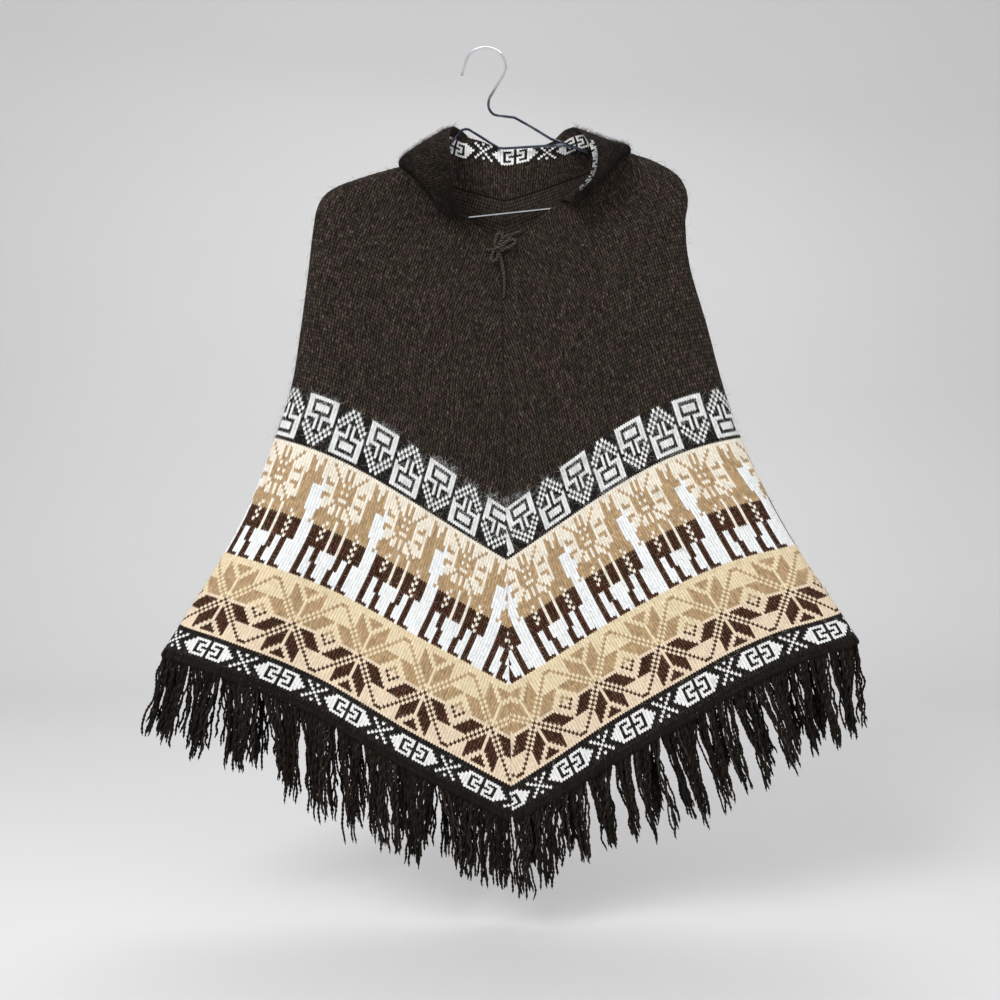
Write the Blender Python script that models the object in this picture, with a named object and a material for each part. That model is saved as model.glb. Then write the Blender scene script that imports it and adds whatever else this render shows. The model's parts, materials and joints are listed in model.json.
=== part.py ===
"""Knitted andean poncho with a stand-up collar and fringe, hung on a bent wire hanger.

The poncho is two knitted panels. Each one runs from the centre front seam round the
wearer's side to the centre back seam. A collar band stands on the neck edge, a twisted
cord is tied in a small bow at the foot of the neck slit, and a fringe hangs from the hem.

Frame: +Z up, the front faces -Y, +X is to the right of someone facing the front.
The origin is the underside of the hook's crown, where a rod or line holds the hanger.
Tables give millimetres from the garment's own centre line; place() moves them here.
"""
import math
import random

import bmesh
import bpy
from mathutils import Vector

MM = 0.001

# Where the garment's centre line lies, seen from the hook's crown (millimetres).
CENTRE_X = 21.0
CENTRE_Z = 2.5

# Cloth
WALL = 2.6            # thickness of the knitted cloth
SEAM_GAP = 0.4        # clearance between pieces sewn edge to edge
ROWS = 21             # divisions of a panel from neck edge to hem
FLAT_COLUMNS = 11     # divisions of a panel's face, before its side fold
NOSE_COLUMNS = 4      # divisions of a quarter of the rounded side fold

# Centre seams: (x, z) of the seam at the neck and at the hem, for front and back.
FRONT_SEAM = {"neck": (-5.0, -234.0), "hem": (8.0, -894.0)}
BACK_SEAM = {"neck": (0.0, -177.0), "hem": (8.0, -884.0)}

# Side fold of each panel: fraction from neck edge to hem, then x and z of the fold.
LEFT_FOLD = (
    # t, x, z
    (0.000, -123.0, -141.0),
    (0.045, -163.0, -152.5),
    (0.090, -201.0, -167.0),
    (0.125, -217.0, -184.0),
    (0.165, -223.0, -211.0),
    (0.240, -229.0, -262.0),
    (0.340, -238.0, -330.0),
    (0.450, -249.0, -398.0),
    (0.550, -270.0, -463.0),
    (0.670, -300.0, -540.0),
    (0.780, -333.0, -602.0),
    (0.890, -366.0, -655.0),
    (1.000, -398.0, -705.0),
)
RIGHT_FOLD = (
    # t, x, z
    (0.000, 146.0, -125.0),
    (0.045, 177.0, -136.0),
    (0.090, 203.0, -153.0),
    (0.125, 213.0, -176.0),
    (0.165, 210.0, -206.0),
    (0.240, 215.0, -256.0),
    (0.340, 234.0, -322.0),
    (0.450, 255.0, -400.0),
    (0.550, 277.0, -463.0),
    (0.670, 311.0, -534.0),
    (0.780, 345.0, -593.0),
    (0.890, 379.0, -643.0),
    (1.000, 410.0, -690.0),
)

# How far the front and back faces stand from the hanger's plane, and how long
# the rounded side fold is, down the garment.
BODY_DEPTH = (
    # t, half_depth, fold_length
    (0.00, 12.0, 36.0),
    (0.12, 11.0, 30.0),
    (0.30, 16.0, 42.0),
    (0.60, 21.0, 60.0),
    (1.00, 25.0, 70.0),
)

# Courses climb from the centre seams to the side folds. Their bow is (height, lean): the
# height is a share of the climb, and a lean over 1 brings the bow nearer to the fold.
COURSE_BOW = {"yoke": (0.13, 1.2), "hem": (0.09, 1.7)}
NECK_SAG = {"front": 1.0, "back": 1.15}    # power of the neck edge's own curve
YOKE_START = 0.16     # fraction down the panel where the yoke's bow is reached
YOKE_LENGTH = 0.40    # fraction over which it turns into the hem's bow

# Soft folds that run down the cloth along a wale: where each one lies across the face
# (0 centre seam, 1 side fold), its half width, how far it stands proud at the hem
# (minus is a trough) and where it starts.
SOFT_FOLDS = (
    # side, face, across, half_width, proud, start
    ("left", "front", 0.30, 0.17, 6.5, 0.30),
    ("left", "front", 0.56, 0.14, -6.0, 0.42),
    ("left", "front", 0.79, 0.12, 5.5, 0.22),
    ("right", "front", 0.26, 0.15, -5.0, 0.46),
    ("right", "front", 0.52, 0.18, 7.0, 0.26),
    ("right", "front", 0.81, 0.12, -5.5, 0.38),
    ("left", "back", 0.24, 0.14, -5.0, 0.34),
    ("left", "back", 0.50, 0.17, 6.5, 0.20),
    ("left", "back", 0.78, 0.12, -4.5, 0.44),
    ("right", "back", 0.33, 0.16, 6.0, 0.30),
    ("right", "back", 0.62, 0.15, -6.0, 0.25),
    ("right", "back", 0.83, 0.11, 4.5, 0.48),
)

# Collar: stations round the neck edge, from -2 at the front seam by way of the left
# fold (-1), the back seam (0) and the right fold (1) to 2 at the front seam again.
# Each is a cubic from just above the neck edge (lift) through two control points to
# the free edge, which rolls over behind the hanger's wire at the back.
COLLAR_STATIONS = (
    # round, lift, low x y z, high x y z, edge x y z
    (-1.50, 2.5, (-74, -28, -176), (-84, -41, -205), (-58, -43, -182)),
    (-1.20, 2.5, (-108, -28, -150), (-100, -49, -177), (-59, -48, -154)),
    (-1.00, 2.5, (-129, -13, -131), (-98, -43, -127), (-63, -38, -128)),
    (-0.75, 0.9, (-108, 7, -130), (-88, -10, -103), (-62, -9, -98)),
    (-0.50, 0.6, (-67, 9, -130), (-62, 3, -108), (-51, 6, -96)),
    (-0.25, 0.6, (-33, 12, -142), (-33, -1, -88), (-32, 18, -112)),
    (0.00, 0.6, (1, 13, -148), (1, -2, -97), (1, 18, -126)),
    (0.25, 0.6, (40, 12, -140), (41, -2, -95), (41, 18, -121)),
    (0.50, 1.0, (84, 10, -130), (84, 2, -106), (72, 4, -95)),
    (0.75, 1.6, (124, 10, -121), (114, -14, -104), (90, -15, -106)),
    (1.00, 2.8, (149, -13, -112), (122, -47, -128), (99, -41, -139)),
    (1.20, 2.5, (124, -28, -136), (122, -49, -173), (96, -46, -162)),
    (1.41, 2.5, (92, -28, -158), (101, -43, -191), (82, -40, -179)),
)
COLLAR_COLUMNS_PER_STATION = 2
COLLAR_ROWS = 9
ROLL_CROWDING = 1.4   # rows lie closer together towards the rolled free edge
COLLAR_WALL = 2.6

# Hanger: one bent wire, from the hook's tip round to the end that is wrapped over it.
WIRE_DIAMETER = 3.2
WIRE_SIDES = 8
WIRE_TURN = 11.0      # degrees the wire may turn between two of its sections
WIRE_TIP = 4.6        # diameter of the bead on the hook's tip
TIP_BEAD = (
    # distance beyond the wire's end and radius, as shares of the bead's diameter
    (0.95, 0.175), (0.80, 0.40), (0.45, 0.50), (0.12, 0.39),
)
WIRE_ROUTE = (
    # x, y, z
    (-49.4, 0.0, -29.5), (-47.3, 0.0, -21.8), (-44.4, 0.0, -12.9), (-37.0, 0.0, -4.9),
    (-24.5, 0.0, -0.9), (-11.8, 0.0, -3.3), (-2.9, 0.0, -10.6), (1.3, 0.0, -21.8),
    (-0.4, 0.0, -29.8), (-6.2, 0.0, -39.0), (-14.2, 0.0, -51.6), (-18.9, 0.0, -62.4),
    (-18.6, 0.0, -72.2), (-12.0, 0.0, -79.2), (5.0, 0.0, -80.8), (14.6, 0.0, -84.0),
    (29.0, 0.0, -92.3), (49.0, 0.0, -105.3), (64.6, 0.0, -111.4), (86.0, 0.0, -119.6),
    (102.0, 0.0, -126.6), (124.0, 0.0, -131.0), (148.0, 0.0, -132.6), (173.4, 0.0, -139.0),
    (192.8, 0.0, -152.0), (200.2, 0.0, -165.0), (195.0, 0.0, -173.2), (185.0, 0.0, -175.6),
    (-188.0, 0.0, -215.0), (-200.0, 0.0, -214.8), (-207.4, 0.0, -204.0),
    (-206.4, 0.0, -187.6), (-194.8, 0.0, -170.9), (-162.0, 0.0, -156.1),
    (-124.0, 0.0, -148.8), (-96.0, 0.0, -142.4), (-80.0, 0.0, -131.5),
    (-66.0, 0.0, -116.2), (-53.0, 0.0, -99.4), (-45.4, 0.0, -95.9), (-38.0, 0.0, -98.8),
    (-12.5, 0.0, -116.0), (-1.0, 0.0, -118.6), (48.0, -0.6, -116.2), (66.0, -3.4, -115.8),
    (84.0, -4.2, -119.4),
)

# Neck tie: a twisted cord in a bow at the foot of the neck slit.
TIE_CORD = 3.4
TIE_SIDES = 8
TIE_KNOT = (-9.0, -17.3, -238.0)
TIE_KNOT_RADII = (5.2, 3.8, 5.0)
TIE_LOOPS = (
    # name, degrees above +X, length, width
    ("right", 36.0, 27.0, 9.0),
    ("left", 196.0, 15.0, 8.4),
)
TIE_LOOP_OUTLINE = (
    # shares of the loop's length and width, from the knot round to the knot
    (0.0, -0.27), (0.3, -0.40), (0.75, -0.42), (1.0, 0.0), (0.75, 0.42), (0.3, 0.40), (0.0, 0.27),
)
TIE_ENDS = (
    # degrees above +X, length, bend in degrees
    (-24.0, 17.0, -30.0),
    (-112.0, 19.0, 22.0),
)

# Fringe: locks of yarn that hang from a narrow knotted edge below each panel's hem.
FRINGE_LOCKS = 38         # on each half of the front and of the back
FRINGE_EDGE = 4.2         # height of the knotted edge
FRINGE_EDGE_WALL = 3.4
FRINGE_GAP = 0.45         # from the hem to the knotted edge
FRINGE_MARGIN = 1.0       # bare edge at each end of a stretch
LOCK_SHARE = 0.52         # how much of each lock's pitch its root takes
LOCK_TAPER = (1.0, 1.12, 0.92, 0.42)
LOCK_FALL = (0.0, 0.28, 0.66, 1.0)
LOCK_LEAN_POWER = 1.4     # locks leave the edge straight and lean more towards their ends
LOCK_LEVELLING = 0.8      # how far a lock's lower end turns level from the hem's slope
LOCK_VARIETY = {"length": (0.90, 1.06), "lean": (-2.2, 2.2), "sway": (-3.0, 3.0)}
LOCK_SEED = 7
# Length and sideways lean of the fringe along each half of the hem, from the centre out.
FRINGE_SHAPE = (
    # side, across, length, lean
    ("left", 0.00, 96.0, 4.0),
    ("left", 0.25, 104.0, 2.0),
    ("left", 0.45, 118.0, 10.0),
    ("left", 0.70, 112.0, -4.0),
    ("left", 1.00, 98.0, -22.0),
    ("right", 0.00, 96.0, 4.0),
    ("right", 0.25, 98.0, 16.0),
    ("right", 0.50, 112.0, 24.0),
    ("right", 0.75, 108.0, 26.0),
    ("right", 1.00, 104.0, 8.0),
)

# name, colour, roughness, metallic
FINISHES = (
    ("brown_knit", (0.030, 0.021, 0.015), 0.95, 0.0),
    ("brown_yarn", (0.016, 0.012, 0.010), 0.90, 0.0),
    ("plated_wire", (0.55, 0.56, 0.58), 0.22, 1.0),
)


def place(x, y, z):
    """A point of the tables, in metres in the part's own frame."""
    return Vector(((x + CENTRE_X) * MM, y * MM, (z + CENTRE_Z) * MM))


def clear_scene():
    for thing in list(bpy.data.objects):
        bpy.data.objects.remove(thing, do_unlink=True)


def finish_named(name):
    """The Principled material of one finish, made once."""
    material = bpy.data.materials.get(name)
    if material:
        return material
    colour, roughness, metallic = next(row[1:] for row in FINISHES if row[0] == name)
    material = bpy.data.materials.new(name)
    material.use_nodes = True
    shader = material.node_tree.nodes["Principled BSDF"]
    shader.inputs["Base Color"].default_value = (*colour, 1.0)
    shader.inputs["Roughness"].default_value = roughness
    shader.inputs["Metallic"].default_value = metallic
    return material


def along(table, position):
    """Values of a table at a position, on a smooth curve through its rows."""
    last = len(table) - 2
    i = next((n for n in range(last + 1) if position <= table[n + 1][0]), last)
    here, there = table[i], table[i + 1]
    before = table[i - 1] if i > 0 else here
    after = table[i + 2] if i < last else there
    span = there[0] - here[0]
    f = min(max((position - here[0]) / span, 0.0), 1.0)
    values = []
    for c in range(1, len(here)):
        rise_in = span * (there[c] - before[c]) / (there[0] - before[0])
        rise_out = span * (after[c] - here[c]) / (after[0] - here[0])
        values.append(
            here[c] * (2 * f**3 - 3 * f**2 + 1)
            + rise_in * (f**3 - 2 * f**2 + f)
            + there[c] * (3 * f**2 - 2 * f**3)
            + rise_out * (f**3 - f**2)
        )
    return values


def ease(value):
    """Smooth step from 0 to 1."""
    value = min(max(value, 0.0), 1.0)
    return value * value * (3.0 - 2.0 * value)


def course_rise(across, t, face):
    """How far a course has climbed from the seam to the fold, as a share of its whole climb.
    Courses are straight or sagging at the neck edge and bowed upward below it."""
    neck_shape = across**NECK_SAG[face]
    bowed = {name: across + height * math.sin(math.pi * across**lean)
             for name, (height, lean) in COURSE_BOW.items()}
    shape = neck_shape + (bowed["yoke"] - neck_shape) * ease(t / YOKE_START)
    return shape + (bowed["hem"] - shape) * ease((t - YOKE_START) / YOKE_LENGTH)


def soft_fold_height(side, face, across, t):
    height = 0.0
    for fold_side, fold_face, centre, half_width, proud, start in SOFT_FOLDS:
        if (fold_side, fold_face) != (side, face):
            continue
        offset = (across - centre) / half_width
        if abs(offset) < 1.0 and t > start:
            growth = ease((t - start) / (1.0 - start))
            height += proud * growth * math.cos(0.5 * math.pi * offset) ** 2
    return height


def cloth_point(side, face, across, t):
    """Middle of the cloth: across 0 is the centre seam and 1 the side fold,
    t 0 is the neck edge and 1 the hem."""
    seam = FRONT_SEAM if face == "front" else BACK_SEAM
    hand = -1.0 if side == "left" else 1.0
    seam_x = seam["neck"][0] + (seam["hem"][0] - seam["neck"][0]) * t + hand * SEAM_GAP / 2
    seam_z = seam["neck"][1] + (seam["hem"][1] - seam["neck"][1]) * t
    fold_x, fold_z = along(LEFT_FOLD if side == "left" else RIGHT_FOLD, t)
    depth, fold_length = along(BODY_DEPTH, t)
    reach = math.hypot(fold_x - seam_x, fold_z - seam_z) * (1.0 - across)
    rounding = min(reach / fold_length, 1.0)
    out = depth * math.sqrt(max(1.0 - (1.0 - rounding) ** 2, 0.0))
    out += soft_fold_height(side, face, across, t)
    x = seam_x + (fold_x - seam_x) * across
    z = seam_z + (fold_z - seam_z) * course_rise(across, t, face)
    return place(x, -out if face == "front" else out, z)


def column_places(side, t):
    """Where a panel's columns lie at one height, from the front seam round to the back
    seam, as (face, across) pairs. They close up round the side fold."""
    places = []
    for face in ("front", "back"):
        seam = FRONT_SEAM if face == "front" else BACK_SEAM
        fold_x, fold_z = along(LEFT_FOLD if side == "left" else RIGHT_FOLD, t)
        seam_z = seam["neck"][1] + (seam["hem"][1] - seam["neck"][1]) * t
        course = math.hypot(fold_x - seam["neck"][0], fold_z - seam_z)
        nose = along(BODY_DEPTH, t)[1] / course
        flat = [(1.0 - nose) * n / FLAT_COLUMNS for n in range(FLAT_COLUMNS)]
        turn = [0.5 * math.pi * n / NOSE_COLUMNS for n in range(NOSE_COLUMNS + 1)]
        run = [(face, a) for a in flat] + [(face, 1.0 - nose * (1.0 - math.sin(a))) for a in turn]
        places += run if face == "front" else run[-2::-1]
    return places


def panel_grid(side):
    grid = []
    for row in range(ROWS + 1):
        t = row / ROWS
        grid.append([cloth_point(side, face, a, t) for face, a in column_places(side, t)])
    return grid


def grid_normals(grid, seam_columns=()):
    """Normals of a grid of points. On a seam column they keep square to the seam."""
    rows, columns = len(grid), len(grid[0])
    normals = []
    for r in range(rows):
        line = []
        for c in range(columns):
            down = grid[min(r + 1, rows - 1)][c] - grid[max(r - 1, 0)][c]
            over = grid[r][min(c + 1, columns - 1)] - grid[r][max(c - 1, 0)]
            normal = over.cross(down)
            if c in seam_columns:
                normal.x = 0.0
            line.append(normal.normalized())
        normals.append(line)
    return normals


def new_object(name, bm, finish, smooth=True):
    bmesh.ops.recalc_face_normals(bm, faces=bm.faces)
    mesh = bpy.data.meshes.new(name)
    bm.to_mesh(mesh)
    bm.free()
    mesh.materials.append(finish_named(finish))
    if smooth:
        mesh.shade_smooth()
        mesh.set_sharp_from_angle(angle=math.radians(50))
    thing = bpy.data.objects.new(name, mesh)
    bpy.context.collection.objects.link(thing)
    return thing


def add_wall(name, grid, thickness, finish, seam_columns=()):
    """A closed wall of even thickness whose middle follows the grid."""
    bm = bmesh.new()
    normals = grid_normals(grid, seam_columns)
    rows, columns = len(grid), len(grid[0])
    half = thickness * MM / 2
    faces = []
    for sign in (1.0, -1.0):
        faces.append([[bm.verts.new(grid[r][c] + normals[r][c] * half * sign)
                       for c in range(columns)] for r in range(rows)])
    outer, inner = faces
    for r in range(rows - 1):
        for c in range(columns - 1):
            bm.faces.new((outer[r][c], outer[r][c + 1], outer[r + 1][c + 1], outer[r + 1][c]))
            bm.faces.new((inner[r][c], inner[r + 1][c], inner[r + 1][c + 1], inner[r][c + 1]))
    rim = [(0, c) for c in range(columns)] + [(r, columns - 1) for r in range(1, rows)]
    rim += [(rows - 1, c) for c in range(columns - 2, -1, -1)]
    rim += [(r, 0) for r in range(rows - 2, 0, -1)]
    for n, (r, c) in enumerate(rim):
        next_r, next_c = rim[(n + 1) % len(rim)]
        bm.faces.new((outer[r][c], inner[r][c], inner[next_r][next_c], outer[next_r][next_c]))
    return new_object(name, bm, finish)


def add_panels():
    """The two knitted panels, each from the front seam round the side to the back seam."""
    grids = {}
    for side in ("left", "right"):
        grid = panel_grid(side)
        last = len(grid[0]) - 1
        add_wall("panel_" + side, grid, WALL, "brown_knit", seam_columns=(0, last))
        grids[side] = grid
    return grids


def bezier(points, f):
    a, b, c, d = points
    g = 1.0 - f
    return a * g**3 + b * 3 * g * g * f + c * 3 * g * f * f + d * f**3


def catmull(a, b, c, d, f):
    """A smooth curve from b to c that takes its direction from a and d."""
    return 0.5 * (2 * b + (c - a) * f + (2 * a - 5 * b + 4 * c - d) * f * f
                  + (3 * b - a - 3 * c + d) * f**3)


def neck_place(position):
    """Side, face and across of a place round the neck edge, counted as in COLLAR_STATIONS."""
    side = "left" if position < 0 else "right"
    if abs(position) > 1.0:
        return side, "front", 2.0 - abs(position)
    return side, "back", abs(position)


def add_collar():
    last = len(COLLAR_STATIONS) - 1
    grid = [[] for _ in range(COLLAR_ROWS + 1)]
    for n in range(last * COLLAR_COLUMNS_PER_STATION + 1):
        i = min(n // COLLAR_COLUMNS_PER_STATION, last - 1)
        f = n / COLLAR_COLUMNS_PER_STATION - i
        near = [COLLAR_STATIONS[min(max(i + k, 0), last)] for k in (-1, 0, 1, 2)]
        position, lift = (near[1][k] + (near[2][k] - near[1][k]) * f for k in (0, 1))
        side, face, across = neck_place(position)
        neck = cloth_point(side, face, across, 0.0)
        upward = (neck - cloth_point(side, face, across, 0.01)).normalized()
        curve = [neck + upward * lift * MM]
        curve += [catmull(*(place(*row[p]) for row in near), f) for p in (2, 3, 4)]
        for r in range(COLLAR_ROWS + 1):
            grid[r].append(bezier(curve, 1.0 - (1.0 - r / COLLAR_ROWS) ** ROLL_CROWDING))
    add_wall("collar", grid, COLLAR_WALL, "brown_knit")


def thinned(points, turn):
    """Leave out the points of a dense curve where it hardly turns."""
    kept = [points[0]]
    heading = points[1] - points[0]
    for n in range(1, len(points) - 1):
        step = points[n + 1] - points[n]
        if heading.angle(step) > math.radians(turn):
            kept.append(points[n])
            heading = points[n + 1] - points[n]
    return kept + [points[-1]]


def smooth_route(points, steps):
    """A dense curve through the points, with shorter handles where they lie close."""
    dense = []
    last = len(points) - 1
    for i in range(last):
        a = points[max(i - 1, 0)]
        b, c = points[i], points[i + 1]
        d = points[min(i + 2, last)]
        reach = (c - b).length
        into = (c - a).normalized() * reach
        out = (d - b).normalized() * reach
        for n in range(steps):
            f = n / steps
            dense.append(b * (2 * f**3 - 3 * f**2 + 1) + into * (f**3 - 2 * f**2 + f)
                         + c * (3 * f**2 - 2 * f**3) + out * (f**3 - f**2))
    return dense + [points[-1]]


def tube(bm, points, radii, sides, flat=1.0):
    """A round tube along the points, closed at both ends."""
    first = (points[1] - points[0]).normalized()
    up = Vector((0.0, 1.0, 0.0))
    rings = []
    last = len(points) - 1
    for n, point in enumerate(points):
        ahead = (points[min(n + 1, last)] - points[max(n - 1, 0)]).normalized()
        up = (up - ahead * up.dot(ahead)).normalized() if n else (up - first * up.dot(first)).normalized()
        over = ahead.cross(up)
        ring = []
        for k in range(sides):
            a = 2 * math.pi * (k + 0.5) / sides
            ring.append(bm.verts.new(point + (over * math.cos(a) + up * math.sin(a) * flat) * radii[n]))
        rings.append(ring)
    for ring, after in zip(rings, rings[1:]):
        for k in range(sides):
            m = (k + 1) % sides
            bm.faces.new((ring[k], ring[m], after[m], after[k]))
    bm.faces.new(rings[0][::-1])
    bm.faces.new(rings[-1])


def add_hanger():
    """The hanger's wire, with the rounded bead on its hook's tip."""
    route = smooth_route([place(*row) for row in WIRE_ROUTE], 14)
    route = thinned(route, WIRE_TURN)
    tip_heading = (route[0] - route[1]).normalized()
    bead = WIRE_TIP * MM
    bead_points = [route[0] + tip_heading * bead * reach for reach, _ in TIP_BEAD]
    bead_radii = [bead * radius for _, radius in TIP_BEAD]
    wire_radius = WIRE_DIAMETER * MM / 2
    bm = bmesh.new()
    tube(bm, bead_points + route, bead_radii + [wire_radius] * len(route), WIRE_SIDES)
    new_object("hanger_wire", bm, "plated_wire")


def flat_direction(degrees):
    angle = math.radians(degrees)
    return Vector((math.cos(angle), 0.0, math.sin(angle)))


def add_neck_tie():
    """The bow: a knot with two loops and two free ends, all one cord."""
    knot = place(*TIE_KNOT)
    radius = TIE_CORD * MM / 2
    pieces = []
    bm = bmesh.new()
    bmesh.ops.create_icosphere(bm, subdivisions=2, radius=1.0)
    for vert in bm.verts:
        vert.co = knot + Vector(c * r * MM for c, r in zip(vert.co, TIE_KNOT_RADII))
    body = new_object("neck_tie", bm, "brown_yarn")
    for name, degrees, length, width in TIE_LOOPS:
        ahead = flat_direction(degrees)
        aside = flat_direction(degrees + 90.0)
        points = [knot + (ahead * length * a + aside * width * b) * MM
                  for a, b in TIE_LOOP_OUTLINE]
        pieces.append((name + "_loop", smooth_route(points, 3)))
    for number, (degrees, length, bend) in enumerate(TIE_ENDS):
        points = [knot]
        for step in range(1, 5):
            heading = flat_direction(degrees + bend * step / 4)
            points.append(points[-1] + heading * length * MM / 4)
        pieces.append(("end_%d" % number, points))
    for name, points in pieces:
        bm = bmesh.new()
        tube(bm, points, [radius] * len(points), TIE_SIDES)
        join(body, new_object(name, bm, "brown_yarn"))
    body.data.shade_smooth()


def join(body, piece):
    """Fuse a piece into the body and remove what is left of it."""
    union = body.modifiers.new("fuse", "BOOLEAN")
    union.operation = "UNION"
    union.object = piece
    evaluated = body.evaluated_get(bpy.context.evaluated_depsgraph_get())
    fused = bpy.data.meshes.new_from_object(evaluated)
    body.modifiers.clear()
    body.data = fused
    bpy.data.objects.remove(piece, do_unlink=True)


def hem_points(grid, face):
    """The hem of one face with the cloth's downward direction, from the centre seam out."""
    columns = len(grid[0])
    middle = (columns - 1) // 2
    order = range(0, middle + 1) if face == "front" else range(columns - 1, middle - 1, -1)
    return [(grid[-1][c], (grid[-1][c] - grid[-2][c]).normalized()) for c in order]


def point_on(points, lengths, distance):
    """Position and direction at a distance along the hem, straight between its points."""
    i = next((n for n in range(len(points) - 2) if distance <= lengths[n + 1]), len(points) - 2)
    f = (distance - lengths[i]) / (lengths[i + 1] - lengths[i])
    place_here = points[i][0].lerp(points[i + 1][0], f)
    heading = points[i][1].lerp(points[i + 1][1], f).normalized()
    over = (points[i + 1][0] - points[i][0]).normalized()
    return place_here, heading, over


def add_fringe(side, face, grid, dice):
    """One stretch of fringe: a narrow knotted edge with locks growing out of its underside."""
    points = hem_points(grid, face)
    lengths = [0.0]
    for (a, _), (b, _) in zip(points, points[1:]):
        lengths.append(lengths[-1] + (b - a).length)
    margin = FRINGE_MARGIN * MM
    whole = lengths[-1] - 2 * margin
    pitch = whole / FRINGE_LOCKS
    shape = [row[1:] for row in FRINGE_SHAPE if row[0] == side]
    stops = []
    for n in range(FRINGE_LOCKS):
        start = margin + pitch * (n + 0.5 - LOCK_SHARE / 2)
        stops += [start, start + pitch * LOCK_SHARE]
    stops = [margin] + stops + [lengths[-1] - margin]
    bm = bmesh.new()
    half = FRINGE_EDGE_WALL * MM / 2
    sections = []
    for distance in stops:
        here, down, over = point_on(points, lengths, distance)
        out = over.cross(down).normalized()
        top = here + down * FRINGE_GAP * MM
        foot = top + down * FRINGE_EDGE * MM
        corners = (top - out * half, top + out * half, foot + out * half, foot - out * half)
        sections.append([bm.verts.new(corner) for corner in corners])
    for n, (a, b) in enumerate(zip(sections, sections[1:])):
        rooted = n % 2 == 1
        for k in range(4):
            m = (k + 1) % 4
            if not (rooted and k == 2):
                bm.faces.new((a[k], a[m], b[m], b[k]))
    bm.faces.new(sections[0][::-1])
    bm.faces.new(sections[-1])
    for n in range(FRINGE_LOCKS):
        a, b = sections[2 * n + 1], sections[2 * n + 2]
        across = (n + 0.5) / FRINGE_LOCKS
        length, lean = along(shape, across)
        length *= dice.uniform(*LOCK_VARIETY["length"])
        lean += dice.uniform(*LOCK_VARIETY["lean"])
        sway = dice.uniform(*LOCK_VARIETY["sway"])
        add_lock(bm, (a[2], a[3], b[3], b[2]), length, lean, sway)
    new_object("fringe_%s_%s" % (face, side), bm, "brown_yarn", smooth=False)


def add_lock(bm, root, length, lean, sway):
    """Grow one four-sided lock down from the four root points."""
    middle = sum((vert.co for vert in root), Vector()) / 4
    before = list(root)
    for fall, width in zip(LOCK_FALL[1:], LOCK_TAPER[1:]):
        belly = sway * math.sin(math.pi * fall * LOCK_LEVELLING)
        shift = Vector((lean * fall**LOCK_LEAN_POWER, belly, -length * fall)) * MM
        after = []
        for vert in root:
            spread = vert.co - middle
            level = Vector((spread.x, spread.y, spread.z * (1.0 - LOCK_LEVELLING * fall)))
            after.append(bm.verts.new(middle + level * width + shift))
        for k in range(4):
            m = (k + 1) % 4
            bm.faces.new((before[k], before[m], after[m], after[k]))
        before = after
    bm.faces.new(before)


def main():
    clear_scene()
    grids = add_panels()
    add_collar()
    add_hanger()
    add_neck_tie()
    dice = random.Random(LOCK_SEED)
    for face in ("front", "back"):
        for side in ("left", "right"):
            add_fringe(side, face, grids[side], dice)


main()
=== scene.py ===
"""Knitted andean poncho with a stand-up collar, a bow and a fringe, hung on a wire hanger."""
import json
import math
import random

import bpy
import numpy as np
from bpy.props import FloatProperty, FloatVectorProperty, IntProperty, PointerProperty
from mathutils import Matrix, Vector

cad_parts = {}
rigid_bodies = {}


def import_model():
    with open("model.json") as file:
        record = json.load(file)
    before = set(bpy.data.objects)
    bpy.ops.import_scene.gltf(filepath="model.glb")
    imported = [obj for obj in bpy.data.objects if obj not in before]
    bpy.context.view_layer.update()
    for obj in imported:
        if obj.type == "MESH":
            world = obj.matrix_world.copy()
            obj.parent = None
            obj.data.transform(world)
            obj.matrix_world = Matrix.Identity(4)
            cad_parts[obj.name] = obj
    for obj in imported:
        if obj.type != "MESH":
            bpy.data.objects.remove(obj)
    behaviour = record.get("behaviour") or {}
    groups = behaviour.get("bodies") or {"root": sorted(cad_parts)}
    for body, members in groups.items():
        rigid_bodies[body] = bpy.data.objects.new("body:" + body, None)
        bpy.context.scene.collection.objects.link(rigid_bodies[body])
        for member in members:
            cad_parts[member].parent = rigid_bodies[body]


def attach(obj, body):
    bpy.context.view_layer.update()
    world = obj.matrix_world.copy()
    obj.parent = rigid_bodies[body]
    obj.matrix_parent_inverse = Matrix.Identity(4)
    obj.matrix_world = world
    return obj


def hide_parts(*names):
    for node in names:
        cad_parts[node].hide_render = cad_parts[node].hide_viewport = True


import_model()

bl_info = {
    "name": "Andean poncho on its hanger",
    "version": (1, 0, 0),
    "blender": (4, 5, 0),
    "location": "View3D > Sidebar > Poncho",
    "description": "Knits the poncho's panels, collar, bow and fringe over the packed frame",
    "category": "Add Mesh",
}

MM = 0.001
CENTRE_X, CENTRE_Z = 21.0, 2.5      # the garment's centre line from the hook's crown
WALL = 2.6                          # thickness of the knitted cloth
SIDES, FACES = ("left", "right"), ("back", "front")
HAND = {"back": -1.0, "front": 1.0}  # which way over a sheet each face lies

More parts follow.
